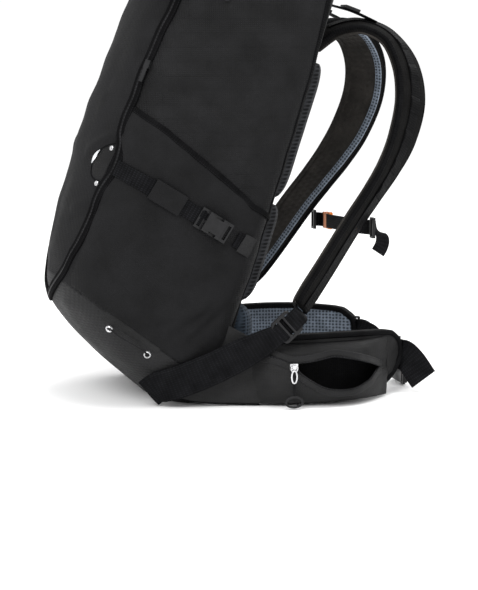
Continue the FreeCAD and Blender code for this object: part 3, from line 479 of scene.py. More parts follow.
def stitches(name, centres, normals, across, body="pack", pitch=3.2, out=0.35):
    """A row of small raised thread stitches along a route, `across` millimetres off its middle."""
    verts, faces = [], []
    run, last = 0.0, 0.0
    for i in range(1, len(centres)):
        step = (centres[i] - centres[i - 1]).length * 1000
        tangent = (centres[i] - centres[i - 1]).normalized()
        wide = normals[i].cross(tangent).normalized()
        outward = tangent.cross(wide).normalized()
        while last + pitch <= run + step:
            last += pitch
            share = (last - run) / step
            at = centres[i - 1].lerp(centres[i], share) + wide * (across / 1000) + outward * (out / 1000)
            a, b, c = tangent * (pitch * 0.34 / 1000), wide * 0.00030, outward * 0.00028
            base = len(verts)
            verts += [at - a, at + b, at + a, at - b, at + c]
            faces += [(base, base + 1, base + 4), (base + 1, base + 2, base + 4),
                      (base + 2, base + 3, base + 4), (base + 3, base, base + 4)]
        run += step
    return build(name, verts, faces, "stitch", body)


def stitch_pair(name, centres, normals, across, body="pack", pitch=3.2, out=0.35):
    """Two rows of stitches, as far to each side of the route."""
    for letter, place in (("a", -across), ("b", across)):
        stitches(f"{name}_{letter}", centres, normals, place, body, pitch, out)


# ------------------------------------------------------------------ the bag's surface
# Height, front, back, half width, front corner radius and back corner radius of the bag, millimetres.
LEVELS = [
    (0, -128, -62, 98, 26, 12), (26, -158, -58, 116, 34, 16), (57, -192, -52, 127, 42, 20),
    (98, -229, -40, 134, 50, 24), (128, -251, -31, 137, 56, 26), (180, -249, -14, 141, 62, 28),
    (249, -235, 8, 143, 66, 28), (330, -210, 33, 144, 66, 28), (430, -172, 66, 141, 62, 28),
    (520, -134, 95, 134, 56, 28),
]
BOW = 14                    # how far the front's middle stands before its corners
TOP_EDGE = 520              # the height of the cloth's top edge
T_STEP = 0.004              # the step in t that slopes are taken over
# Where t starts the back corner, the side, the front corner and the front.
CORNER, SIDE, TURN, FRONT = 0.14, 0.22, 0.62, 0.80
# The pole cord's route in metres in the frame, as part.py has it; the cord is 2.4 mm thick.
POLE_CORD = [(-0.1888, -0.13025, 0.104), (-0.18258, -0.13573, 0.097), (-0.17131, -0.13954, 0.09),
             (-0.15796, -0.14055, 0.082), (-0.14767, -0.13798, 0.075), (-0.1419, -0.1334, 0.07)]


def hermite(a, b, slope_a, slope_b, f):
    """A smooth value between a and b with the given slopes over the stretch."""
    return ((2 * f ** 3 - 3 * f * f + 1) * a + (f ** 3 - 2 * f * f + f) * slope_a
            + (3 * f * f - 2 * f ** 3) * b + (f ** 3 - f * f) * slope_b)


def neighbours(table, x):
    """The four rows round x in a table of rows that start with x, and x's share between the middle two."""
    last = len(table) - 1
    i = next((n for n in range(last) if x <= table[n + 1][0]), last - 1)
    rows = [table[max(i - 1, 0)], table[i], table[i + 1], table[min(i + 2, last)]]
    return rows, (x - rows[1][0]) / (rows[2][0] - rows[1][0])


def level(z):
    """Front, back, half width and corner radii of the bag at a height: mostly smooth, partly straight."""
    rows, f = neighbours(LEVELS, z)
    z0, z1, z2, z3 = (r[0] for r in rows)
    found = []
    for a, b, c, d in list(zip(*rows))[1:]:
        curve = hermite(b, c, (c - a) / max(z2 - z0, 1) * (z2 - z1), (d - b) / max(z3 - z1, 1) * (z2 - z1), f)
        found.append((b + (c - b) * f) * 0.3 + curve * 0.7)
    return found


def outline(z, t):
    """Plan point on the right half of the bag: t from 0 at the back centre to 1 at the front centre."""
    front, back, half, rf, rb = level(z)
    corner_x = front + BOW + rf
    if t < CORNER:
        return back, -(half - rb) * t / CORNER
    if t < SIDE:
        a = math.radians(90 * (t - CORNER) / (SIDE - CORNER))
        return back - rb + rb * math.cos(a), -(half - rb) - rb * math.sin(a)
    if t < TURN:
        s = (t - SIDE) / (TURN - SIDE)
        puff = 3.0 * math.sin(math.pi * s)
        return back - rb + (corner_x - back + rb) * s, -half - puff
    if t < FRONT:       # a conic from the side to the bowed front, tangent to both
        s = (t - TURN) / (FRONT - TURN)
        lead, mid, end = (1 - s) ** 2, 1.5 * s * (1 - s), s * s
        meet = front + BOW + 2 * BOW * rf / (half - rf)
        total = lead + mid + end
        return ((lead * corner_x + mid * meet + end * (front + BOW)) / total,
                -(half - rf) - rf * (lead + mid) / total)
    y = (half - rf) * (1 - (t - FRONT) / (1 - FRONT))
    return front + BOW * (y / (half - rf)) ** 2, -y


def at_x(z, x):
    """The outline parameter where the right half crosses a given X."""
    low, high = 0.0, 1.0
    for _ in range(40):
        mid = (low + high) / 2
        if outline(z, mid)[0] > x:
            low = mid
        else:
            high = mid
    return (low + high) / 2


# Drawn creases: start, end, width and height, millimetres; (x, z) on the sides and (|y|, z) on the front.
SIDE_CREASES = [((-146, 92), (-52, 147), 8, 3.4), ((-166, 112), (-80, 127), 7, 2.4),
                ((-118, 82), (-48, 140), 6, 2.8), ((-168, 215), (-104, 218), 8, 2.2),
                ((-120, 205), (-20, 176), 9, 2.0), ((-60, 330), (10, 262), 9, 2.6),
                ((-96, 372), (-20, 330), 9, 2.4), ((-150, 420), (-60, 398), 10, 2.6),
                ((-40, 470), (30, 430), 10, 2.6)]
FRONT_CREASES = [((44, 316), (112, 346), 7, 2.6), ((48, 246), (108, 262), 8, 1.8),
                 ((46, 402), (108, 388), 9, 2.2)]


def creased(a, z, creases):
    """Height of the drawn creases: a rounded ridge with a shallow trough below it."""
    total = 0.0
    for (a0, z0), (a1, z1), wide, high in creases:
        length = math.hypot(a1 - a0, z1 - z0)
        ua, uz = (a1 - a0) / length, (z1 - z0) / length
        share = ((a - a0) * ua + (z - z0) * uz) / length
        across = (z - z0) * ua - (a - a0) * uz
        if 0 < share < 1 and abs(across) < 4 * wide:
            ridge = math.exp(-(across / wide) ** 2) - 0.6 * math.exp(-((across + 1.7 * wide) / wide) ** 2)
            total += high * math.sin(math.pi * share) ** 0.7 * ridge
    return total


def folds(x, y, z):
    """How far the cloth stands proud of its smooth shape, in millimetres."""
    v = Vector((x * 0.012, abs(y) * 0.010, z * 0.012))
    soft = noise.noise(v) * 2.2 + noise.noise(v * 2.3 + Vector((5, 0, 0))) * 1.0
    drag = Vector((x * 0.020 + z * 0.030, z * 0.006 - x * 0.004, 3.0))
    pulled = noise.noise(drag) * 1.3
    tight = 1.0 if z > 40 else z / 40
    face = max(0.0, min(1.0, (abs(y) - 118) / 18))
    drawn = creased(x, z, SIDE_CREASES) * face + creased(abs(y), z, FRONT_CREASES) * (1 - face) * (x < -120)
    return (soft + pulled + drawn) * tight


def raw_skin(z, t):
    return Vector((*outline(z, t), z))


def skin(z, t, out=0.0, side=-1):
    """A point on the folded cloth, moved out by some millimetres, and its outward normal."""
    here = raw_skin(z, t)
    around = raw_skin(z, min(t + T_STEP, 1.0)) - raw_skin(z, max(t - T_STEP, 0.0))
    if t > 0.995:
        around = Vector((0, 1, 0))
    upward = raw_skin(min(z + 2, TOP_EDGE), t) - raw_skin(max(z - 2, 0), t)
    normal = around.cross(upward).normalized()
    if normal.y > 0.05 or (abs(normal.y) <= 0.05 and t > 0.9 and normal.x > 0):
        normal = -normal
    if t < 0.1 and normal.x < 0:
        normal = -normal
    spot = here + normal * (out + folds(*here))
    return flip(pt(*spot), side), flip(normal, side)


def cloth_per_t(z, t):
    """Millimetres along the cloth for a whole unit of t, just behind t."""
    (x0, y0), (xa, ya) = outline(z, t), outline(z, t - T_STEP)
    return math.hypot(x0 - xa, y0 - ya) / T_STEP


def shell_mesh(count_t=120, count_z=190):
    """The whole cloth body as one grid, bottom included."""
    heights = [2.6] + [TOP_EDGE * k / count_z for k in range(2, count_z + 1)]
    loop = [(k / count_t, -1) for k in range(count_t + 1)]
    loop += [(k / count_t, 1) for k in range(count_t - 1, 0, -1)]
    n = len(loop)
    verts = [skin(z, t, 0.0, side)[0] for z in heights for t, side in loop]
    faces = ring_faces(len(heights), n)
    centre = pt(-95, 0, 3.2)
    ring = list(range(n))
    for share in (0.75, 0.4):
        start = len(verts)
        verts += [centre.lerp(verts[j], share) + UP * 0.0002 for j in range(n)]
        faces += [(ring[j], start + j, start + (j + 1) % n, ring[(j + 1) % n]) for j in range(n)]
        ring = [start + j for j in range(n)]
    verts.append(centre)
    faces += [(ring[j], len(verts) - 1, ring[(j + 1) % n]) for j in range(n)]
    return verts, faces


def cut_lines(bm, lines):
    """Splits the mesh along planes that contain Y and a line in the XZ plane, or a plane of one Y."""
    for a, b in lines:
        if a is None:
            co, no = pt(0, b, 0), Vector((0, 1, 0))
        else:
            co = pt(a[0], 0, a[1])
            no = Vector((-(b[1] - a[1]), 0, b[0] - a[0])).normalized()
        bmesh.ops.bisect_plane(bm, geom=bm.verts[:] + bm.edges[:] + bm.faces[:], dist=1e-6, plane_co=co,
                               plane_no=no)


def below(x, z, a, b):
    """Signed distance in millimetres from the line a-b, positive to its left."""
    dx, dz = b[0] - a[0], b[1] - a[1]
    return ((x - a[0]) * -dz + (z - a[1]) * dx) / math.hypot(dx, dz)


# Seams in (x, z): the base panel's edges, and the line between the front and the back panel.
BASE_A, BASE_B, BASE_C = (-400, 272), (-75, 30), (-50, -20)
SPLIT_A, SPLIT_B = (-75, 30), (-20, 530)
SIDE_SEAM = 104             # |y| of the seam between the side panels and the others
CLOTH = 0.0025
PANEL_LOOKS = {"base_panel": "base", "side_panel_right": "ripstop", "side_panel_left": "ripstop",
               "front_panel": "front", "back_panel": "mesh_dark"}


def panel_of(face):
    c = face.calc_center_median()
    x, y, z = c.x * 1000 - SHIFT, c.y * 1000, c.z * 1000
    if below(x, z, BASE_A, BASE_B) < 0 and below(x, z, BASE_B, BASE_C) < 0:
        return "base_panel"
    if abs(y) > SIDE_SEAM:
        return "side_panel_right" if y < 0 else "side_panel_left"
    return "front_panel" if below(x, z, SPLIT_A, SPLIT_B) > 0 else "back_panel"


def bag():
    """Cuts the cloth body into its sewn panels."""
    bm = as_bmesh(*shell_mesh())
    cut_lines(bm, [(BASE_A, BASE_B), (BASE_B, BASE_C), (SPLIT_A, SPLIT_B), (None, SIDE_SEAM),
                   (None, -SIDE_SEAM)])
    bm.faces.ensure_lookup_table()
    bm.normal_update()
    groups = {node: [] for node in PANEL_LOOKS}
    for face in bm.faces:
        groups[panel_of(face)].append(face)
    for node, members in groups.items():
        points, polys = cut_out(members)
        piece = build("cloth_" + node, points, polys, PANEL_LOOKS[node], "pack", (node,),
                      uvs=[(p.y, p.z) for p in points],
                      slot="base_fabric" if node == "base_panel" else "shell_fabric")
        thicken(piece, CLOTH)
    bm.free()


# ------------------------------------------------------------------ bands sewn to the bag
def on_skin(points, out, count, side=-1):
    """Smooth route over the cloth. Points are (x, z) on the side or (None, z, t) anywhere round it."""
    rows = [(p[1], p[2]) if p[0] is None else (p[1], at_x(p[1], p[0])) for p in points]
    centres, normals = zip(*(skin(z, min(t, 0.9999), out, side) for z, t in spline(rows, count)))
    return list(centres), list(normals)


FRONT_ZIP = [(-104, 512), (-138, 440), (-166, 370), (-175, 344), (None, 324, 0.7325), (None, 300, 0.7345),
             (None, 275, 0.753), (None, 250, 0.759), (None, 226, 0.766), (None, 198, 0.793),
             (None, 174, 0.828), (None, 156, 0.885), (None, 140, 0.95), (None, 130, 0.9999)]
POCKET_TOP = [(-160, 372), (-128, 346), (-90, 314), (-45, 276), (2, 236)]
BASE_SEAM = [(-246, 157), (-215, 134), (-157, 91), (-116, 60.5), (-77, 31.5)]
STRAP_FROM, STRAP_TO = (-184, 301), (-27, 203)      # the compression strap's ends, (x, z)
BACK_EDGE = [(82, 515), (60, 430), (36, 350), (6, 250), (-24, 150), (-58, 62)]


def front_zip():
    """The covered zip that runs down both front edges and under the front."""
    for side, tag in SIDES:
        centres, normals = on_skin(FRONT_ZIP, 2.8, 190, side)
        sweep(f"zip_flap_{tag}", centres, normals, rounded(16, 3.4, 1.5, crown=0.8), "tape", "pack",
              ("front_zip",) if side < 0 else ())
        ridge = [c + n * 0.0021 for c, n in zip(centres, normals)]
        sweep(f"zip_teeth_{tag}", ridge, normals, rounded(3.4, 1.5, 0.7), "coil")
        stitch_pair(f"zip_stitch_{tag}", centres, normals, 6.6, out=1.9)


def clamp(value, low=0.0, high=1.0):
    return max(low, min(high, value))


POCKET_LOW, POCKET_REAR, POCKET_HIGH = 34, 236, 372     # heights: the bottom, the mouth's rear and front ends
POCKET_T = (0.19, 0.80)
POCKET_EDGES = [((2, POCKET_REAR), (-160, POCKET_HIGH)), ((-168, 380), (-206, 262)),
                ((-206, 262), (-236, 180)), ((-260, 170), (-75, 32))]


def pocket_lift(x, z, t):
    """How far the pocket's cloth stands off the bag: creased at the mouth, held down by the strap."""
    top = POCKET_REAR + (POCKET_HIGH - POCKET_REAR) * clamp((2 - x) / 162)
    swell = 3.2 + 5.0 * math.sin(math.pi * clamp((top - z) / 60)) * 0.5
    edge = clamp(min(t - POCKET_T[0], POCKET_T[1] - t) / 0.06)
    crease = 1.6 * noise.noise(Vector((x * 0.03 + z * 0.01, z * 0.035 - x * 0.02, 1.7)))
    crease += 2.4 * math.exp(-((top - z - 26) / 14) ** 2) * noise.noise(Vector((x * 0.05, 0.3, z * 0.01)))
    away = abs(below(x, z, STRAP_FROM, STRAP_TO))
    free = edge * (1 - 0.85 * math.exp(-(away / 17) ** 2))
    return 1.0 + swell * free * 0.6 + crease * free


def side_pocket(side, tag):
    """The stretch pocket over the lower side, with a bound edge."""
    cols, rows = 90, 110
    verts = []
    for i in range(rows + 1):
        z = POCKET_LOW + (POCKET_HIGH - POCKET_LOW) * i / rows
        for j in range(cols + 1):
            t = POCKET_T[0] + (POCKET_T[1] - POCKET_T[0]) * j / cols
            verts.append(skin(z, t, pocket_lift(outline(z, t)[0], z, t), side)[0])
    bm = as_bmesh(verts, grid_faces(rows, cols))
    cut_lines(bm, POCKET_EDGES)
    kept = []
    for face in bm.faces:
        c = face.calc_center_median()
        if all(below(c.x * 1000 - SHIFT, c.z * 1000, a, b) > 0 for a, b in POCKET_EDGES):
            kept.append(face)
    points, polys = cut_out(kept)
    piece = build(f"pocket_{tag}", points, polys, "shell", "pack", ("side_pockets",) if side < 0 else (),
                  uvs=[(p.x, p.z) for p in points], slot="shell_fabric")
    thicken(piece, 0.0012)
    bm.free()
    centres, normals = on_skin(POCKET_TOP, 3.6, 70, side)
    sweep(f"pocket_hem_{tag}", centres, normals, rounded(7.5, 2.6, 1.2, crown=0.4), "binding")
    stitches(f"pocket_hem_stitch_{tag}", centres, normals, -2.2, out=1.6)
    stitches(f"pocket_hem_stitch_low_{tag}", centres, normals, 8.0, out=-0.6)


def edge_bands(side, tag):
    """Binding along the back edge, and piping on the base seam."""
    centres, normals = on_skin(BACK_EDGE, 1.2, 110, side)
    sweep(f"edge_band_{tag}", centres, normals, rounded(11, 3.4, 1.6, crown=1.0), "binding")
    stitch_pair(f"edge_stitch_{tag}", centres, normals, 3.8, out=2.2)
    centres, normals = on_skin(BASE_SEAM, 0.4, 80, side)
    sweep(f"base_piping_{tag}", centres, normals, circle(1.5), "binding")
    stitches(f"base_seam_stitch_{tag}", centres, normals, 3.2, out=0.6)
    stitches(f"base_seam_stitch_low_{tag}", centres, normals, -3.2, out=0.6)


NODE_LOOKS = {
    "bottle": ("air_canister",), "brass": ("inflator_valve",), "airbag": ("airbag_folded",),
    "sheet": ("frame_sheet",), "alloy": ("frame_stays",), "orange": ("chest_buckle", "trigger_grip"),
    "steel": ("firing_pin", "pocket_slider_left", "pocket_slider_right"),
    "buckle": ("lifter_buckles", "belt_buckle", "belt_tongue", "belt_ring_left", "belt_ring_right",
               "chest_tongue", "chest_clips", "compression_tongues", "compression_buckle_left",
               "compression_buckle_right", "ladder_lock_left", "ladder_lock_right", "lid_slider",
               "front_slider", "trigger_sleeve"),
}


def node_looks():
    """Materials for the CAD nodes that stay as they are."""
    for look, nodes in NODE_LOOKS.items():
        for node in nodes:
            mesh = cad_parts[node].data
            mesh.materials.clear()
            mesh.materials.append(MAT[look])


# ------------------------------------------------------------------ shoulder harness
STRAP_ROUTE = [(84, -46, 448), (112, -50, 468), (146, -60, 474), (178, -73, 459), (197, -87, 424),
               (199, -101, 380), (185, -113, 334), (165, -121, 297), (141, -127, 263),
               (113, -133, 226), (73, -141, 169), (41, -149, 126)]
STRAP_TWIST = [0, 3, 10, 24, 42, 52, 50, 42, 37, 36, 37, 38]


def strap_path(count):
    """Smooth centres, face normals and widths of the right shoulder strap."""
    rows = [(*p, tw, 64 - 14 * min(1.0, i / 8)) for i, (p, tw) in enumerate(zip(STRAP_ROUTE, STRAP_TWIST))]
    found = spline(rows, count)
    centres = [pt(*r[:3]) for r in found]
    normals = []
    for i, row in enumerate(found):
        tangent = tangent_at(centres, i)
        face = OUT_RIGHT.cross(tangent).normalized()
        turn = math.radians(row[3])
        normals.append((face * math.cos(turn) + tangent.cross(face) * math.sin(turn)).normalized())
    return centres, normals, [row[4] for row in found]


def shifted(centres, normals, across, out, side=-1):
    """The route moved across and out of the strap's face, millimetres."""
    moved = []
    for i, centre in enumerate(centres):
        wide = normals[i].cross(tangent_at(centres, i)).normalized()
        by = across[i] if isinstance(across, list) else across
        moved.append(flip(centre + wide * (by / 1000) + normals[i] * (out / 1000), side))
    return moved


STRAP_WIDE, STRAP_THICK = 50, 11.5
LINING_BELOW = -3.6         # the profile's height where the woven cover gives way to the lining
LADDER_START = 12           # the section where the webbing on the strap's face begins
LOOPS = (46, 58, 70, 82, 94, 106)


def shoulder_strap(side, tag):
    """Curved foam strap: woven cover, mesh lining, bound edges, a stitched webbing ladder down its face."""
    count = 150
    centres, normals, widths = strap_path(count)
    face = [flip(n, side) for n in normals]
    middle = [flip(c, side) for c in centres]
    profile = rounded(STRAP_WIDE, STRAP_THICK, 4.6, 5, crown=1.2)
    ends = [min(1.0, 0.72 + 0.28 * math.sqrt(min(1.0, (count - 1 - i) / 7))) for i in range(count)]
    scale = [w / STRAP_WIDE * e for w, e in zip(widths, ends)]

    def paint(j):
        y = (profile[j][1] + profile[(j + 1) % len(profile)][1]) / 2
        return 1 if y < LINING_BELOW else 0

    def quilt(i, x, y):
        wrinkle = 0.7 * noise.noise(Vector((i * 0.12, x * 0.05, side * 3.0)))
        return wrinkle if y > 0 else wrinkle * 0.4

    def edge(sign, inset, out):
        across = [sign * (w * e / 2 - inset) for w, e in zip(widths, ends)]
        return shifted(centres, normals, across, out, side)

    sweep(f"strap_foam_{tag}", middle, face, profile, ("foam", "inner"), "pack",
          (f"shoulder_strap_{tag}",), scale, paint, "foam_fabric", wave_out=quilt)
    for name, sign, lining in (("outer", -1, "inner"), ("inner", 1, "mesh_fine")):
        sweep(f"strap_binding_{name}_{tag}", edge(sign, 1.2, 2.6), face, circle(3.3, 12), "binding")
        sweep(f"strap_lining_edge_{name}_{tag}", edge(sign, 5.5, -5.4), face, rounded(9, 3.0, 1.3), lining,
              slot="mesh")
    ladder = shifted(centres, normals, 0.0, 7.7, side)
    path, facing = ladder[LADDER_START:], face[LADDER_START:]
    sweep(f"strap_webbing_{tag}", path, facing, rounded(19, 1.7, 0.7), "binding")
    stitch_pair(f"strap_stitch_{tag}", path, facing, 8.2, out=0.8)
    quilting = shifted(centres, normals, 0, 6.4, side)
    stitch_pair(f"strap_quilting_{tag}", quilting, face, 17.5, pitch=3.6, out=0.3)
    for k, at in enumerate(LOOPS):
        loop, normal = ladder[at - 3:at + 4], face[at - 3:at + 4]
        arched = [c + n * (0.0016 * math.sin(math.pi * i / 6)) for i, (c, n) in enumerate(zip(loop, normal))]
        sweep(f"strap_loop_{k}_{tag}", arched, normal, rounded(20.5, 1.6, 0.7), "binding")


# The adjuster's way through the ladder lock: reach along the strap and rise off the lock, millimetres.
ADJUSTER = [(24, 2.6), (15, 4.4), (8.5, 5.6), (4.5, 2.0), (0.2, -1.6), (-4.0, 2.0), (-8.5, 5.8), (-13, 4.2),
            (-19, 1.0), (-30, -1.8), (-44, -4.2)]
# The anchor band under the bag: place and width.
ANCHOR = [(-146, -113, 17, 40), (-136, -121, 25, 41), (-112, -136, 34, 42), (-74, -148.5, 50, 42),
          (-36, -157.5, 69, 40), (-10, -163, 84, 33), (6, -165.6, 94, 26), (10, -163.4, 96.5, 25)]
ANCHOR_WIDE = 40


def harness_webbing(side, tag):
    """The adjuster through the ladder lock, and the fabric band that anchors it under the bag."""
    lock, along = flip(pt(18, -165.5, 103), side), Vector((0.745, 0, 0.667)).normalized()
    out = flip(OUT_RIGHT, side)
    foam_end = flip(strap_path(60)[0][-1], side)
    threaded = [lock + along * (reach / 1000) + out * (rise / 1000) for reach, rise in ADJUSTER]
    path = route([foam_end + Vector((-0.002, 0, -0.004)) + out * 0.001] + threaded, 90)
    sweep(f"adjuster_{tag}", path, [out] * 90, rounded(24.5, 1.7, 0.7), "webbing", "pack",
          ("strap_webbing",) if side < 0 else ())
    count = 110
    rows = spline([(*flip(pt(*p), side), wide) for *p, wide in ANCHOR], count)
    centres = [Vector(r[:3]) + out * (0.0018 * math.sin(i / count * 9)) for i, r in enumerate(rows)]
    sweep(f"anchor_band_{tag}", centres, [out] * count, rounded(ANCHOR_WIDE, 3.2, 1.4, 4, crown=0.6),
          "webbing", "pack", (f"anchor_strap_{tag}",), [r[3] / ANCHOR_WIDE for r in rows],
          wave_out=lambda i, x, y: 0.8 * noise.noise(Vector((i * 0.09, x * 0.06, 2.0))))
    for share, letter in ((-0.43, "a"), (0.43, "b")):
        edge = [c + out.cross(tangent_at(centres, i)).normalized() * (rows[i][3] * share / 1000)
                for i, c in enumerate(centres)]
        stitches(f"anchor_stitch_{tag}_{letter}", edge[4:-8], [out] * (count - 12), 0.0, out=2.0)


def cushion(name, place, rows, cols, look, nodes):
    """A padded block closed by one flat face; place(u, v) gives its front for u and v from -1 to 1."""
    spots = [place(j / cols * 2 - 1, i / rows * 2 - 1) for i in range(rows + 1) for j in range(cols + 1)]
    n = cols + 1
    rim = list(range(n)) + [i * n + cols for i in range(1, rows + 1)]
    rim += [rows * n + j for j in range(cols - 1, -1, -1)] + [i * n for i in range(rows - 1, 0, -1)]
    faces = grid_faces(rows, cols) + [tuple(reversed(rim))]
    piece = build(name, [pt(*p) for p in spots], faces, look, "pack", nodes,
                  uvs=[(y / 1000, z / 1000) for _, y, z in spots], slot="mesh")


PAD_IN, PAD_OUT = 12, 118   # |y| of a pad's two upright edges
PAD_PROUD, PAD_SUNK = 23, 0.6


def back_pads():
    """Ventilated mesh pads with a channel between them, and the lumbar cushion."""
    for sign, tag in SIDES:
        y_low = -PAD_OUT if sign < 0 else PAD_IN
        for name, z_low, z_high in (("upper", 258, 430), ("lower", 130, 252)):
            def front(u, v):
                z = z_low + (z_high - z_low) * (v + 1) / 2
                y = y_low + (PAD_OUT - PAD_IN) * (u + 1) / 2
                full = (1 - abs(u) ** 4.5) * (1 - abs(v) ** 7)
                x = level(z)[1] + PAD_SUNK + (PAD_PROUD - PAD_SUNK) * max(0.0, full) ** 0.42
                return x + 0.5 * noise.noise(Vector((y * 0.04, z * 0.04, 2))) * full, y, z

            cushion(f"back_pad_{name}_{tag}", front, 46, 34, "mesh_dark",
                    ("back_pads",) if sign < 0 and name == "upper" else ())

    def lumbar(u, v):
        z = 70 + 52 * v
        full = (1 - abs(u) ** 5) * (1 - abs(v) ** 5)
        swell = 34 + 6 * math.cos(v * 2.2) - 8 * max(0, -v)
        return -50 + (z - 18) * 0.20 + swell * max(0.0, full) ** 0.45, 96 * u, z

    cushion("lumbar_cushion", lumbar, 40, 60, "mesh", ("lumbar_pad",))


# ------------------------------------------------------------------ hip belt
# Side view of a wing, from its root to its tip: X, lower edge, upper edge.
WING_SIDE = [(-44, 10, 76), (-20, 4, 83), (10, 2.5, 86), (60, 1.5, 88), (110, 4, 88), (150, 11, 86),
             (168, 20, 84), (179, 30, 79), (185, 41, 70), (187, 50, 61)]
WING_ROOT, WING_TIP = -44, 187
WING_PLAN = [(-44, -116), (-20, -125), (0, -132), (30, -136.5), (60, -138), (90, -135), (120, -128),
             (160, -110), (187, -92)]
POUCH_PLAN = [(-22, -135.5), (-12, -144), (4, -157), (26, -166.5), (50, -170.5), (80, -171.5), (106, -169),
              (126, -158.5), (144, -143.5), (158, -126), (166, -116)]
POUCH_RIM = [(-21, 66), (-21, 30), (-14, 9), (10, 3.6), (60, 3.2), (110, 4.4), (146, 11), (161, 26),
             (164, 45), (160, 62), (146, 74), (110, 77), (60, 77), (10, 77), (-14, 74), (-21, 66)]
ZIP_HIGH = [(-22, 68), (0, 65), (24, 57), (44, 57.5), (60, 60), (80, 63), (104, 59), (130, 51), (148, 43),
            (158, 38)]
ZIP_LOW = [(-22, 68), (0, 65), (24, 57), (34, 46), (46, 37), (64, 27), (82, 22.5), (104, 23), (128, 31),
           (148, 43), (158, 38)]


def along_x(table, x, k=1):
    """Smooth value from a table of rows that start with X."""
    x = max(table[0][0], min(table[-1][0], x))
    (p0, p1, p2, p3), f = neighbours(table, x)
    run = p2[0] - p1[0]
    slopes = (p2[k] - p0[k]) / (p2[0] - p0[0]) * run, (p3[k] - p1[k]) / (p3[0] - p1[0]) * run
    return hermite(p1[k], p2[k], *slopes, f)


def plan_out(table, x):
    """Outward direction in plan of a right-hand curve given as a table of X and Y."""
    low, high = max(x - 1.5, table[0][0]), min(x + 1.5, table[-1][0])
    return Vector((along_x(table, high) - along_x(table, low), low - high, 0)).normalized()


def hip_wing(side, tag):
    """Padded wing: wrinkled outer cloth, spacer mesh inside, binding round its whole edge."""
    body = f"wing_{tag}"
    cols, ring = 110, 56
    xs = [WING_ROOT + (WING_TIP - WING_ROOT) * (k / cols) ** 0.92 for k in range(cols + 1)]
    verts, uvs = [], []
    for x in xs:
        low, high = along_x(WING_SIDE, x, 1), along_x(WING_SIDE, x, 2)
        out = plan_out(WING_PLAN, x)
        y, middle, half = along_x(WING_PLAN, x), (low + high) / 2, (high - low) / 2
        thick = 7.6 * min(1.0, 0.35 + 0.65 * math.sqrt(max(0.0, (187.5 - x) / 14)))
        for j in range(ring):
            a = 2 * math.pi * j / ring
            c, s = math.cos(a), math.sin(a)
            o = thick * math.copysign(abs(c) ** 0.62, c)
            z = middle + half * math.copysign(abs(s) ** 0.62, s)
            fine = Vector((x * 0.045, z * 0.075, side + (4 if c > 0 else 9)))
            wrinkle = 1.5 * noise.noise(fine) + 0.6 * noise.noise(fine * 2.6)
            o += wrinkle * abs(c) ** 0.5 * (1 if c > 0 else 0.4)
            verts.append(flip(pt(x, y, z) + out * (o / 1000), side))
            uvs.append((x / 1000, (z + (120 if c < 0 else 0)) / 1000))
    faces = ring_faces(cols + 1, ring) + ring_caps(cols + 1, ring)
    indices = [0 if ring * 0.26 > min(j, ring - j) else 1 for _ in range(cols) for j in range(ring)] + [0, 0]
    piece = build(f"wing_pad_{tag}", verts, faces, ("wing", "mesh_fine"), body, (f"hip_wing_{tag}",), indices,
                  uvs, "foam_fabric")
    edge = [(x, along_x(WING_SIDE, x, 2) - 2.6) for x in range(-42, 180, 6)]
    edge += [(184.5, 70), (187.2, 62), (187.8, 55), (187.0, 48), (184.6, 41)]
    edge += [(x, along_x(WING_SIDE, x, 1) + 2.4)
             for x in (179, 172, 164, 156, 148, 136, 120, 100, 80, 60, 30, 0, -42)]
    rows = [Vector(r) for r in spline(edge, 240)]
    centres, normals = [], []
    for i, (x, z) in enumerate(rows):
        tangent = tangent_at(rows, i)
        out = plan_out(WING_PLAN, x)
        ahead = Vector((-out.y, out.x, 0))
        normals.append(flip(ahead * -tangent.y + UP * tangent.x, side))
        edge_spot = pt(min(x, WING_TIP), along_x(WING_PLAN, x), z) + ahead * max(0, x - WING_TIP) / 1000
        centres.append(flip(edge_spot, side))
    sweep(f"wing_binding_{tag}", centres, normals, rounded(16.6, 7.2, 3.3, 5), "binding", body)
    stitch_pair(f"wing_stitch_{tag}", centres[:150], normals[:150], 8.5, body, out=-1.4)


def pouch_point(x, z, proud=0.0):
    """A point on the pocket's outer cloth, right-hand side."""
    out = plan_out(POUCH_PLAN, x)
    wing_y = along_x(WING_PLAN, x) - 8.4
    depth = wing_y - along_x(POUCH_PLAN, x)
    v = max(-1.0, min(1.0, (z - 40) / 37.5))
    share = max(0.0, 1 - abs(v) ** (3.4 if v < 0 else 4.2)) ** 0.5
    fine = Vector((x * 0.035, z * 0.05, 7.7))
    cloth = (1.3 * noise.noise(fine) + 0.6 * noise.noise(fine * 2.7)) * share
    return pt(x, wing_y - depth * share, z) + out * ((proud + cloth) / 1000)


MOUTH_END, MOUTH_DEPTH = 158, 36    # where the pocket's zip ends, and the open mouth's greatest height


def mouth(x):
    """How far the zip stands open at x, from 0 to 1."""
    x = min(x, MOUTH_END)
    return max(0.0, along_x(ZIP_HIGH, x) - along_x(ZIP_LOW, x)) / MOUTH_DEPTH


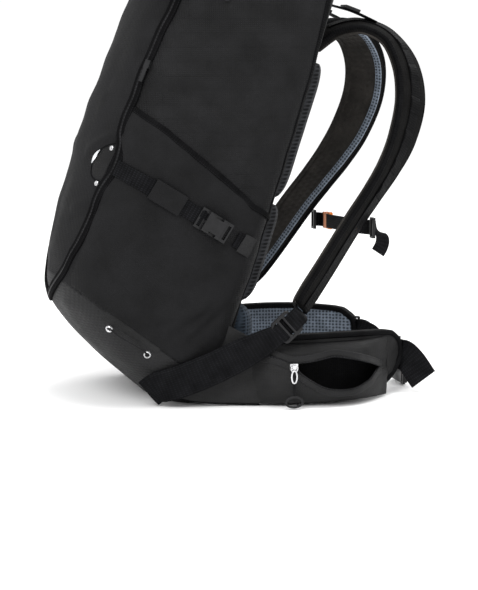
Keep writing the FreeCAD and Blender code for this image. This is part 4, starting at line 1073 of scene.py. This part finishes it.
def pocket_cloth(side, tag, xs, is_low):
    """The pocket's cloth below or above the zip, sagging where the mouth is open."""
    rows = 26
    verts, uvs = [], []
    for x in xs:
        lip = along_x(ZIP_LOW if is_low else ZIP_HIGH, min(x, MOUTH_END))
        start, end = (2.6, lip) if is_low else (lip, 77.4)
        for k in range(rows + 1):
            share = (k / rows) ** 1.6 if is_low else 1 - (1 - k / rows) ** 1.6
            z = start + (end - start) * share
            sag = 3.2 * share ** 3 * mouth(x) if is_low else -1.2 * (1 - share) ** 3 * mouth(x)
            verts.append(flip(pouch_point(x, z, sag), side))
            uvs.append((x / 1000, z / 1000))
    piece = build(f"pouch_{'low' if is_low else 'high'}_{tag}", verts, grid_faces(len(xs) - 1, rows),
                  "wing_light" if is_low else "wing", f"wing_{tag}", (f"hip_pocket_{tag}",) if is_low else (),
                  uvs=uvs, slot="shell_fabric")
    thicken(piece, 0.0011, 0)


def pocket_lining(side, tag, xs):
    rows = 14
    verts, uvs = [], []
    for x in xs:
        for k in range(rows + 1):
            z = 7 + 64 * k / rows
            v = (z - 39) / 34
            y = along_x(WING_PLAN, x) - 9.6 - 1.2 * noise.noise(Vector((x * 0.05, z * 0.06, 1))) - 2 * v * v
            verts.append(flip(pt(x, y, z), side))
            uvs.append((x / 1000, z / 1000))
    build(f"pouch_lining_{tag}", verts, grid_faces(len(xs) - 1, rows), "tape", f"wing_{tag}", uvs=uvs,
          slot="shell_fabric")


def hip_pocket(side, tag):
    """The zipped pocket, left open: cloth above and below the zip, lining, tapes, teeth and edge piping."""
    body = f"wing_{tag}"
    cols = 120
    xs = [-22 + 188 * k / cols for k in range(cols + 1)]
    pocket_cloth(side, tag, xs, True)
    pocket_cloth(side, tag, xs, False)
    pocket_lining(side, tag, xs[8:-8])
    count = 170
    span = [-20 + 172 * k / (count - 1) for k in range(count)]
    face = [flip(plan_out(POUCH_PLAN, x), side) for x in span]
    for name, table, sign in (("low", ZIP_LOW, -1), ("high", ZIP_HIGH, 1)):
        def beside(rise, proud):
            pout = 2.6 if sign < 0 else 0
            return [flip(pouch_point(x, along_x(table, x) + sign * rise, proud + pout * mouth(x)), side)
                    for x in span]

        edge = beside(4.6, 1.1)
        sweep(f"zip_tape_{name}_{tag}", edge, face, rounded(9.2, 1.3, 0.6, crown=0.3), "tape_light", body)
        stitches(f"zip_tape_stitch_{name}_{tag}", edge, face, sign * side * -3.2, body, pitch=2.6, out=0.9)
        sweep(f"zip_coil_{name}_{tag}", beside(0.6, 1.5), face, circle(0.95, 8), "coil", body)
    points = spline(POUCH_RIM, 220)
    centres = [flip(pt(x, along_x(WING_PLAN, x) - 9.4, z), side) for x, z in points]
    sweep(f"pouch_piping_{tag}", centres, [flip(plan_out(WING_PLAN, x), side) for x, _ in points],
          circle(1.7, 10), "binding", body)


PULL_X, PULL_Y = 26, -175.7         # where the slider's pull hangs


def oval(side, z, wide, high, count):
    """A closed ring in the pull's plane: its height, and its two semi-axes."""
    turns = [2 * math.pi * k / count for k in range(count)]
    return [flip(pt(PULL_X + wide * math.cos(a), PULL_Y, z + high * math.sin(a)), side) for a in turns]


def pull_loops(side, tag):
    """The two strands of cord under the pocket's slider, and the finger loop they carry."""
    z, face = 33, flip(OUT_RIGHT, side)
    for k, dx in enumerate((-0.9, 0.9)):
        strand = route([pt(PULL_X + dx * share, PULL_Y, z + rise)
                        for share, rise in ((0.4, 3.5), (1, -3), (1.1, -12), (0.9, -18.5))], 40)
        sweep(f"pull_cord_{k}_{tag}", [flip(p, side) for p in strand], [face] * 40, circle(0.75, 8), "cord",
              f"tab_{tag}")
    sweep(f"pull_ring_{tag}", oval(side, 9.0, 10.6, 6.4, 48), [face] * 48, rounded(2.9, 2.1, 0.9, 3),
          "buckle", f"tab_{tag}", closed=True)


BELT_TIP = Vector((25, 17, 0)).normalized()     # the wing tip's direction, which the ring's bar stands across
BAR_RADIUS = 0.0031
BELT_INNER = [(214.8, -56, 27), (215.4, -62, 30.5), (211.8, -71, 38), (204, -79.5, 45.5)]
BELT_TAIL = [(199.5, -92, 47.5), (205.5, -99.5, 40), (211, -104.5, 31), (216.5, -107.5, 22),
             (219.5, -108.8, 17.5)]


def belt_webbing(side, tag):
    """Webbing round the ring's bar, its run to the buckle and its loose doubled tail."""
    body = f"belt_{tag}"
    bar = pt(185, -93, 50) + BELT_TIP * 0.009
    turns = [math.radians(90 + 180 * k / 16) for k in range(17)]
    loop = [bar + BELT_TIP * (BAR_RADIUS * math.cos(a)) + UP.cross(BELT_TIP) * (BAR_RADIUS * math.sin(a))
            for a in turns]
    path = route([pt(*p) for p in BELT_INNER] + loop + [pt(*p) for p in BELT_TAIL], 150)
    normals = []
    for i in range(len(path)):
        width = (UP + AHEAD * (max(0.0, (i - 88) / 62) * 0.85)).normalized()
        normals.append(flip(tangent_at(path, i).cross(width).normalized() * -1, side))
    path = [flip(p, side) for p in path]
    sweep(f"belt_web_{tag}", path, normals, rounded(37.5, 1.7, 0.75, 3), "webbing", body,
          (f"belt_strap_{tag}",))
    stitch_pair(f"belt_web_stitch_{tag}", path[92:], normals[92:], 16.5, body, pitch=3.0, out=1.0)


BAIL = [(-4.0, 0), (-2, 0.1), (2, 0.1), (4.0, 0), (4.1, -2.5), (3.2, -5), (0, -5.6), (-3.2, -5), (-4.1, -2.5)]


def metal_tab(side, tag):
    """The slider's swinging pull: a wire bail through the lug and an oval of wire below it."""
    z, face = 53.6, flip(OUT_RIGHT, side)
    ring = [flip(pt(PULL_X + a, PULL_Y, z + b), side) for a, b in spline(BAIL + BAIL[:1], 41)[:-1]]
    sweep(f"tab_bail_{tag}", ring, [face] * 40, circle(0.85, 8), "steel", f"tab_{tag}",
          closed=True)
    sweep(f"tab_plate_{tag}", oval(side, z - 12.6, 3.4, 8.0, 40), [face] * 40, rounded(2.0, 1.5, 0.6),
          "steel", f"tab_{tag}", (f"pull_tab_{tag}",), closed=True)


# ------------------------------------------------------------------ straps on the bag, patches, cords
def strap_route(low, high, steps, out, count, side):
    """A stretch of the compression strap's line over the cloth, as shares of its length."""
    shares = [low + (high - low) * k / steps for k in range(steps + 1)]
    points = [tuple(a + (b - a) * share for a, b in zip(STRAP_FROM, STRAP_TO)) for share in shares]
    return on_skin(points, out, count, side)


def compression_strap(side, tag):
    """Webbing from the front seam to the buckle, its sewn end tab, and the short anchor behind the buckle."""
    node = ("compression_webbing",) if side < 0 else ()
    for name, low, high, count, nodes in (("long", 0.0, 0.75, 90, node), ("short", 0.90, 1.0, 20, ())):
        sweep(f"side_web_{name}_{tag}", *strap_route(low, high, 6, 4.9, count, side),
              rounded(20, 1.7, 0.75, 3), "webbing", "pack", nodes)
    for name, low, high, out, wide, look in (("rear", 0.945, 1.02, 6.0, 25, "base"),
                                             ("keeper", 0.235, 0.475, 6.6, 27, "shell_uv")):
        centres, normals = strap_route(low, high, 4, out, 24, side)
        sweep(f"side_{name}_{tag}", centres, normals, rounded(wide, 3.0, 1.3, 3, crown=0.5), look,
              slot="base_fabric")
        stitch_pair(f"side_{name}_stitch_{tag}", centres, normals, wide / 2 - 2.5, pitch=2.6, out=1.6)
    sweep(f"side_web_fold_{tag}", *strap_route(0.60, 0.72, 4, 6.8, 30, side), rounded(19.6, 1.7, 0.75, 3),
          "webbing")


PATCH_R, PATCH_STRETCH, PATCH_LEAN = 24, 1.7, 0.25
PATCH_Z, PATCH_T = 306.7, 0.749
RIVETS = ((5.7, 17.4), (14.3, -26.5))


def moon(a, b):
    """Folds a disc into the half-moon whose straight side lies along the zip."""
    half = math.sqrt(max(0.0, PATCH_R ** 2 - b * b))
    return PATCH_STRETCH / 2 * (a + half) - PATCH_LEAN * b, b


def beside_patch(dx, dz, out, side):
    """The cloth some millimetres from the patch's middle, and its normal."""
    return skin(PATCH_Z + dz, min(0.9999, PATCH_T + dx / cloth_per_t(PATCH_Z, PATCH_T)), out, side)


def patch_cloth(side, tag):
    """The patch itself; gives its rim."""
    rings, n = 23, 48
    verts, uvs = [], []
    for i in range(rings):
        r = PATCH_R * i / (rings - 1)
        for k in range(n):
            a = 2 * math.pi * k / n
            dx, dz = moon(r * math.cos(a), r * math.sin(a))
            lift = 2.0 + (0.9 * (1 - (r / PATCH_R) ** 6) if r < PATCH_R else 0)
            verts.append(beside_patch(dx, dz, lift, side)[0])
            uvs.append((dx / 1000, dz / 1000))
    piece = build(f"patch_{tag}", verts, ring_faces(rings, n), "base_light", "pack",
                  ("gear_patches",) if side < 0 else (), uvs=uvs, slot="base_fabric")
    thicken(piece, 0.0012)
    return verts[-n:]


def gear_patch(side, tag):
    """Half-moon patch on the front corner with a bound rim, two rivets and a reflective crescent."""
    rim = patch_cloth(side, tag)
    normal = skin(PATCH_Z, PATCH_T, 0, side)[1]
    sweep(f"patch_rim_{tag}", rim, [normal] * len(rim), circle(1.25, 8), "binding", closed=True)
    steps = 30
    rises = [-3 + 17 * k / steps for k in range(steps + 1)]
    edges = [moon(math.sqrt(PATCH_R ** 2 - dz * dz), dz)[0] - 2.0 for dz in rises]
    crescent = [beside_patch(dx, dz, 4.2, side) for dx, dz in zip(edges, rises)]
    widths = [max(0.12, math.sin(math.pi * k / steps)) for k in range(steps + 1)]
    sweep(f"reflector_{tag}", *zip(*crescent), rounded(6.5, 1.2, 0.5, 3), "reflector", scale=widths)
    for k, (dx, dz) in enumerate(RIVETS):
        dome(f"rivet_{k}_{tag}", *beside_patch(dx, dz, 3.2, side), 3.4, 1.6,
             ("patch_rivets",) if side < 0 and not k else ())


def dome(name, at, normal, radius, high, nodes=(), hole=0.0):
    """A turned metal rivet with a rolled rim, or with a hole, an eyelet. Rows: radius, share of height."""
    side_dir = normal.cross(UP).normalized()
    up_dir = normal.cross(side_dir).normalized()
    if hole:
        rows = [(hole, -0.6), (hole, 0.35), (hole + 0.5, 1.0), ((hole + radius) / 2, 1.25),
                (radius - 0.5, 0.8), (radius, 0.2), (radius, -0.6)]
    else:
        rows = [(0.02, 0.72), (radius * 0.34, 0.68), (radius * 0.42, 0.95), (radius * 0.72, 1.0),
                (radius * 0.93, 0.6), (radius, 0.1), (radius, -0.6)]
    n = 28
    verts = [at + side_dir * (x / 1000) + up_dir * (y / 1000) + normal * (h * high / 1000)
             for r, h in rows for x, y in circle(r, n)]
    faces = ring_faces(len(rows), n)
    if not hole:
        faces.append(tuple(range(n)))
    build(name, verts, faces, "steel", "pack", nodes)


EYELETS = ((-196, 104), (-151, 70))
POLE_TAB = [(-203, 121), (-190, 113), (-176, 104), (-160, 93), (-146, 83), (-136, 75)]


def pole_holder(side, tag):
    """Two eyelets in one reinforced tab, and the cord that runs between them."""
    for k, (x, z) in enumerate(EYELETS):
        p, n = skin(z, at_x(z, x), 2.6, side)
        dome(f"eyelet_{k}_{tag}", p, n, 5.0, 2.2, ("eyelets",) if side < 0 and not k else (), 2.6)
    centres, normals = on_skin(POLE_TAB, 1.5, 60, side)
    sweep(f"pole_tab_{tag}", centres, normals, rounded(17, 2.0, 0.9, crown=0.4), "tab_cloth",
          slot="base_fabric")
    stitch_pair(f"pole_tab_stitch_{tag}", centres, normals, 6.4, out=1.4)
    curve = bpy.data.curves.new(f"pole_cord_{tag}", "CURVE")
    curve.dimensions = "3D"
    line = curve.splines.new("NURBS")
    line.points.add(len(POLE_CORD) - 1)
    for point, (x, y, z) in zip(line.points, POLE_CORD):
        point.co = (x, y if side < 0 else -y, z, 1)
    line.order_u = 3
    line.use_endpoint_u = True
    line.resolution_u = 16
    curve.bevel_depth = 0.0012
    curve.bevel_resolution = 4
    curve.use_fill_caps = True
    curve.materials.append(MAT["cord_plain"])
    piece = staged(f"pole_cord_{tag}", curve)
    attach(piece, "pack")
    if side < 0:
        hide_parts("pole_cords")


ROOT_FROM, ROOT_RUN = -112, 104
ROOT_PLAN = [(-112, -121), (-92, -126.5), (-70, -129.5), (-48, -130.5), (-28, -135.5), (-8, -140.5)]


def belt_root(side, tag):
    """The pleated cloth that carries the hip wing from under the bag, with its bound lower edge."""
    verts, uvs = [], []
    rows, cols = 40, 70
    for j in range(cols + 1):
        u = j / cols
        x = ROOT_FROM + ROOT_RUN * u
        out = plan_out(ROOT_PLAN, x)
        low = 3.0 + 9.0 * (1 - u) ** 3
        high = 40 + 62 * min(1.0, u / 0.62) - 22 * max(0.0, (u - 0.62) / 0.38)
        for i in range(rows + 1):
            v = i / rows
            z = low + (high - low) * v
            fan = Vector((x * 0.03 + z * 0.012, z * 0.03, 11.0))
            pleat = 1.5 * noise.noise(fan) + 1.1 * math.sin((x + 60) * 0.33 - z * 0.05) * v * (1 - v) * 2
            tuck = 3.5 * v ** 3 * (1 - u)
            verts.append(flip(pt(x, along_x(ROOT_PLAN, x), z) + out * ((pleat - tuck) / 1000), side))
            uvs.append((x / 1000, z / 1000))
    piece = build(f"belt_root_{tag}", verts, grid_faces(cols, rows), "wing_light", None, uvs=uvs,
                  slot="foam_fabric")
    thicken(piece, 0.0022)
    span = [-110 + 100 * k / 60 for k in range(61)]
    edge = [flip(pt(x, along_x(ROOT_PLAN, x), 3.4 + 9.0 * (1 - (x - ROOT_FROM) / ROOT_RUN) ** 3), side)
            for x in span]
    face = [flip(plan_out(ROOT_PLAN, x), side) for x in span]
    hem = sweep(f"belt_root_binding_{tag}", edge, face, rounded(5, 3.4, 1.5), "binding", None)
    for cloth in (piece, hem):
        tuple(flip(pt(-84, -128, 40), side))
        tuple(flip(pt(-44, -131, 40), side))
        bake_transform(cloth)


# ------------------------------------------------------------------ chest strap, lifters and handle
def plain_band(name, points, normals, wide, thick, body, nodes=(), count=60):
    """A webbing band along given points; gives its route and normals."""
    path = route(points, count)
    facing = [Vector(r).normalized() for r in spline([tuple(n) for n in normals], count)]
    sweep(name, path, facing, rounded(wide, thick, thick * 0.45, 3), "webbing", body, nodes)
    return path, facing


WEB = 1.7                   # the thickness of plain webbing
CHEST_WIDE, LIFTER_WIDE, HANDLE_WIDE = 19, 20, 20
CHEST_RIGHT = [(145.2, -125, 219.2), (148.0, -119, 218.9), (147.2, -110, 218.4), (142.4, -85, 217.1),
               (139.2, -60, 215.9), (138.9, -20, 213.9), (139.0, 30, 211.4), (139.2, 68, 209.5)]
CHEST_LEFT = [(145.7, 102, 207.8), (144.2, 107, 207.6), (142.6, 111, 207.5), (139.5, 119, 207.1),
              (137.2, 125, 206.8)]
CHEST_TAIL = [(150.6, -112, 216.5), (154.6, -119, 212), (156.5, -124, 205), (154.0, -126.5, 196),
              (149.0, -127.5, 188)]
TAIL_TURN = [(0.96, -0.25, 0), (0.55, -0.8, 0.2), (0.2, -0.95, 0.25), (0.1, -0.99, 0.1), (0.05, -1, 0.05)]


def chest_strap():
    """The chest strap's two runs of webbing and the free end at the right-hand clip."""
    path, facing = plain_band("chest_web_right", [pt(*p) for p in CHEST_RIGHT], [AHEAD] * 8, CHEST_WIDE, WEB,
                              "chest", ("chest_webbing",), 110)
    stitch_pair("chest_stitch", path[8:30], facing[8:30], 6.5, "chest", pitch=2.4, out=1.0)
    plain_band("chest_web_left", [pt(*p) for p in CHEST_LEFT], [AHEAD] * 5, CHEST_WIDE, WEB, "chest")
    plain_band("chest_web_tail", [pt(*p) for p in CHEST_TAIL], TAIL_TURN, CHEST_WIDE, WEB, "chest", (), 50)


LIFTER = [(104, -62, 500), (118, -62, 496.5), (130, -63, 493.2), (143, -64, 488), (163, -67, 478.5)]
HANDLE = [(-38, 492), (-37.4, 500), (-36, 510), (-32, 525), (-24, 534), (-12, 539.5), (0, 541)]     # (y, z)
HANDLE_X = 100.8


def handle_x(z):
    """The handle stands on the cloth below 500 mm and leans out to its own plane by 515 mm."""
    start = level(z)[1] + 3.4
    return HANDLE_X if z > 515 else start + (HANDLE_X - level(515)[1] - 3.4) * max(0, (z - 500) / 15)


def lifters_and_handle():
    """Load lifter straps on both shoulders and the padded haul handle."""
    for side, tag in SIDES:
        points = [flip(pt(*p), side) for p in [(level(503)[1] + 1.8, -62, 503)] + LIFTER]
        path, facing = plain_band(f"lifter_{tag}", points, [(0.3, 0, 1)] * 6, LIFTER_WIDE, WEB, "pack",
                                  ("load_lifters",) if side < 0 else ())
        stitches(f"lifter_stitch_{tag}", path[-14:], facing[-14:], 6.5, pitch=2.4, out=1.0)
    points = [pt(handle_x(z), y, z) for y, z in HANDLE + [(-y, z) for y, z in reversed(HANDLE[:-1])]]
    path, facing = plain_band("handle_web", points, [AHEAD] * len(points), HANDLE_WIDE, 3.0, "pack",
                              ("haul_handle",), 120)
    sweep("handle_grip_sleeve", path[36:84], facing[36:84], rounded(16, 8.0, 3.6, 4, crown=0.8), "foam",
          slot="foam_fabric", scale=[min(1.0, 0.75 + 0.25 * min(i, 47 - i) / 4) for i in range(48)])
    for across, letter in ((-7.5, "a"), (7.5, "b")):
        for k, part in enumerate((slice(2, 22), slice(98, 118))):
            stitches(f"handle_stitch_{k}_{letter}", path[part], facing[part], across, pitch=2.6, out=1.7)


# ------------------------------------------------------------------ lid and airbag cover
# Plan rows: height, front, back, half width, front and back corner radius.
LID_ROWS = [(521, -137.5, 14, 138, 57, 8), (530, -138, 14, 138.5, 57, 8), (540, -132, 14, 134, 56, 9),
            (549, -118, 13.5, 124, 52, 9), (553.5, -100, 12, 110, 46, 10)]
LID_RIM, LID_SEAM = (523, -139, 15, 139.5, 57, 8), (546, -124.5, 13.7, 128.5, 53, 9)
LID_SIDE = 0.20             # where t starts the lid's side
LID_CENTRE, TOP_CENTRE = -60, -46
LID_TOP = (0.86, 0.68, 0.5, 0.32, 0.15)     # rings of the top, as shares of the last row


def loop_plan(row, count_t=90):
    """Plan outline of a level row, right half then left half, as (x, y) pairs."""
    _, front, back, half, rf, rb = row
    corner_x = front + BOW + rf
    right = []
    for k in range(count_t + 1):
        t = k / count_t
        if t < CORNER:
            right.append((back, -(half - rb) * t / CORNER))
        elif t < LID_SIDE:
            a = math.radians(90 * (t - CORNER) / (LID_SIDE - CORNER))
            right.append((back - rb + rb * math.cos(a), -(half - rb) - rb * math.sin(a)))
        elif t < TURN:
            right.append((back - rb + (corner_x - back + rb) * (t - LID_SIDE) / (TURN - LID_SIDE), -half))
        elif t < FRONT:
            a = math.radians(90 * (t - TURN) / (FRONT - TURN))
            right.append((corner_x - rf * math.sin(a), -(half - rf) - rf * math.cos(a)))
        else:
            y = (half - rf) * (1 - (t - FRONT) / (1 - FRONT))
            right.append((front + BOW * (y / (half - rf)) ** 2, -y))
    return right + [(x, -y) for x, y in reversed(right[1:-1])]


def outward(plan, rise=0):
    """Directions away from the lid's middle."""
    return [Vector((x - LID_CENTRE, y, rise)).normalized() for x, y in plan]


def lid_cloth():
    """The domed cap: wrinkled rows up the side, then shrinking rings over the top."""
    rings = spline(LID_ROWS, 26)
    verts, uvs = [], []
    for r in rings:
        for x, y in loop_plan(r):
            v = Vector((x * 0.02, y * 0.02, r[0] * 0.03))
            scale = 1 - (1.2 * noise.noise(v) + 0.6 * noise.noise(v * 2.4)) / 140
            verts.append(pt(LID_CENTRE + (x - LID_CENTRE) * scale, y * scale, r[0]))
            uvs.append((x / 1000, (y + r[0]) / 1000))
    top = loop_plan(rings[-1])
    for share in LID_TOP:
        for x, y in top:
            v = Vector((x * share * 0.022, y * share * 0.022, 5))
            rise = 553.8 + 3.2 * (1 - share ** 2) ** 0.6 + 1.6 * noise.noise(v) * (1 - share ** 4)
            verts.append(pt(TOP_CENTRE + (x - TOP_CENTRE) * share, y * share, rise))
            uvs.append((x * share / 1000, y * share / 1000))
    count = len(rings) + len(LID_TOP)
    faces = ring_faces(count, len(top)) + ring_caps(count, len(top))[1:]
    thicken(build("lid_cloth", verts, faces, "front", "lid", ("lid",), uvs=uvs, slot="shell_fabric"), 0.0024)


def lid():
    """The top flap: a soft domed cap with a bound rim, hinged on the rolled seam at its rear edge."""
    lid_cloth()
    rim, seam = loop_plan(LID_RIM), loop_plan(LID_SEAM)
    sweep("lid_binding", [pt(x, y, 523.6) for x, y in rim], outward(rim), rounded(8, 2.6, 1.2, crown=0.4),
          "binding", "lid", closed=True)
    sweep("lid_seam", [pt(x, y, 546.2) for x, y in seam], outward(seam, 60), circle(1.3, 8), "binding", "lid",
          closed=True)
    hem = [pt(17, y, 556) for y in range(-104, 105, 4)]
    sweep("lid_hem", hem, [UP] * len(hem), circle(4.3, 18), "tape", "lid", slot="shell_fabric",
          wave_out=lambda i, x, y: 0.35 * noise.noise(Vector((i * 0.3, x, y))))
    front = [(x, y) for x, y in rim if x < -8]
    facing = outward(front)
    band = [pt(x * 1.004, y * 1.004, 528.6) + f * 0.0012 for (x, y), f in zip(front, facing)]
    sweep("lid_zip_band", band, facing, rounded(7.5, 1.6, 0.7), "tape", "pack", ("lid_zip",))
    sweep("lid_zip_coil", [p + f * 0.0010 for p, f in zip(band, facing)], facing, circle(0.9, 8), "coil")


# The cover's section in (x, z), a closed loop.
COVER_SHAPE = [(22, 472), (40, 468.5), (58, 472), (66, 490), (73, 512), (78, 523), (90, 526.5), (97, 534),
               (97, 545), (87, 553.5), (60, 556.0), (36, 554.6), (22, 549), (19.6, 510)]
COVER_HALF, COVER_X, COVER_Z = 118, 58, 515


def airbag_cover():
    """The soft cover behind the neck that hides the folded airbag, with its burst seam on top."""
    loop = spline(COVER_SHAPE + COVER_SHAPE[:1], 71)[:-1]
    n, rows = len(loop), 74
    verts, uvs = [], []
    for i in range(rows + 1):
        s = -1 + 2 * i / rows
        y = COVER_HALF * s
        shrink = max(0.02, 1 - abs(s) ** 9) ** 0.35
        for j, (x, z) in enumerate(loop):
            v = Vector((x * 0.035, y * 0.022, z * 0.035))
            push = 1.0 + (0.012 * noise.noise(v) + 0.007 * noise.noise(v * 2.3))
            grow = shrink * min(push, 1.004)
            verts.append(pt(COVER_X + (x - COVER_X) * grow, y, COVER_Z + (z - COVER_Z) * grow))
            uvs.append((y / 1000, j / n * 0.26))
    build("airbag_cover_cloth", verts, ring_faces(rows + 1, n) + ring_caps(rows + 1, n), "shell_uv", "pack",
          ("airbag_cover",), uvs=uvs, slot="shell_fabric")
    line = [pt(58, y, 556.2) for y in range(-108, 109, 4)]
    up = [UP] * len(line)
    sweep("burst_tape", line, up, rounded(12, 1.4, 0.6), "tape", "pack", ("burst_zip",))
    sweep("burst_coil", [p + UP * 0.0008 for p in line], up, circle(0.9, 8), "coil")
    stitch_pair("burst_stitch", line, up, 4.6, pitch=2.6, out=0.8)
    edge = [pt(97.6, y, 539) for y in range(-106, 107, 4)]
    sweep("cover_piping", edge, [AHEAD] * len(edge), circle(1.3, 8), "binding")


camera()
studio()
bag()
front_zip()
back_pads()
for SIDE_SIGN, TAG in SIDES:
    for make in (side_pocket, edge_bands, shoulder_strap, harness_webbing, hip_wing, hip_pocket, pull_loops,
                 metal_tab, belt_webbing, compression_strap, gear_patch, pole_holder, belt_root):
        make(SIDE_SIGN, TAG)
chest_strap()
lifters_and_handle()
lid()
airbag_cover()
node_looks()
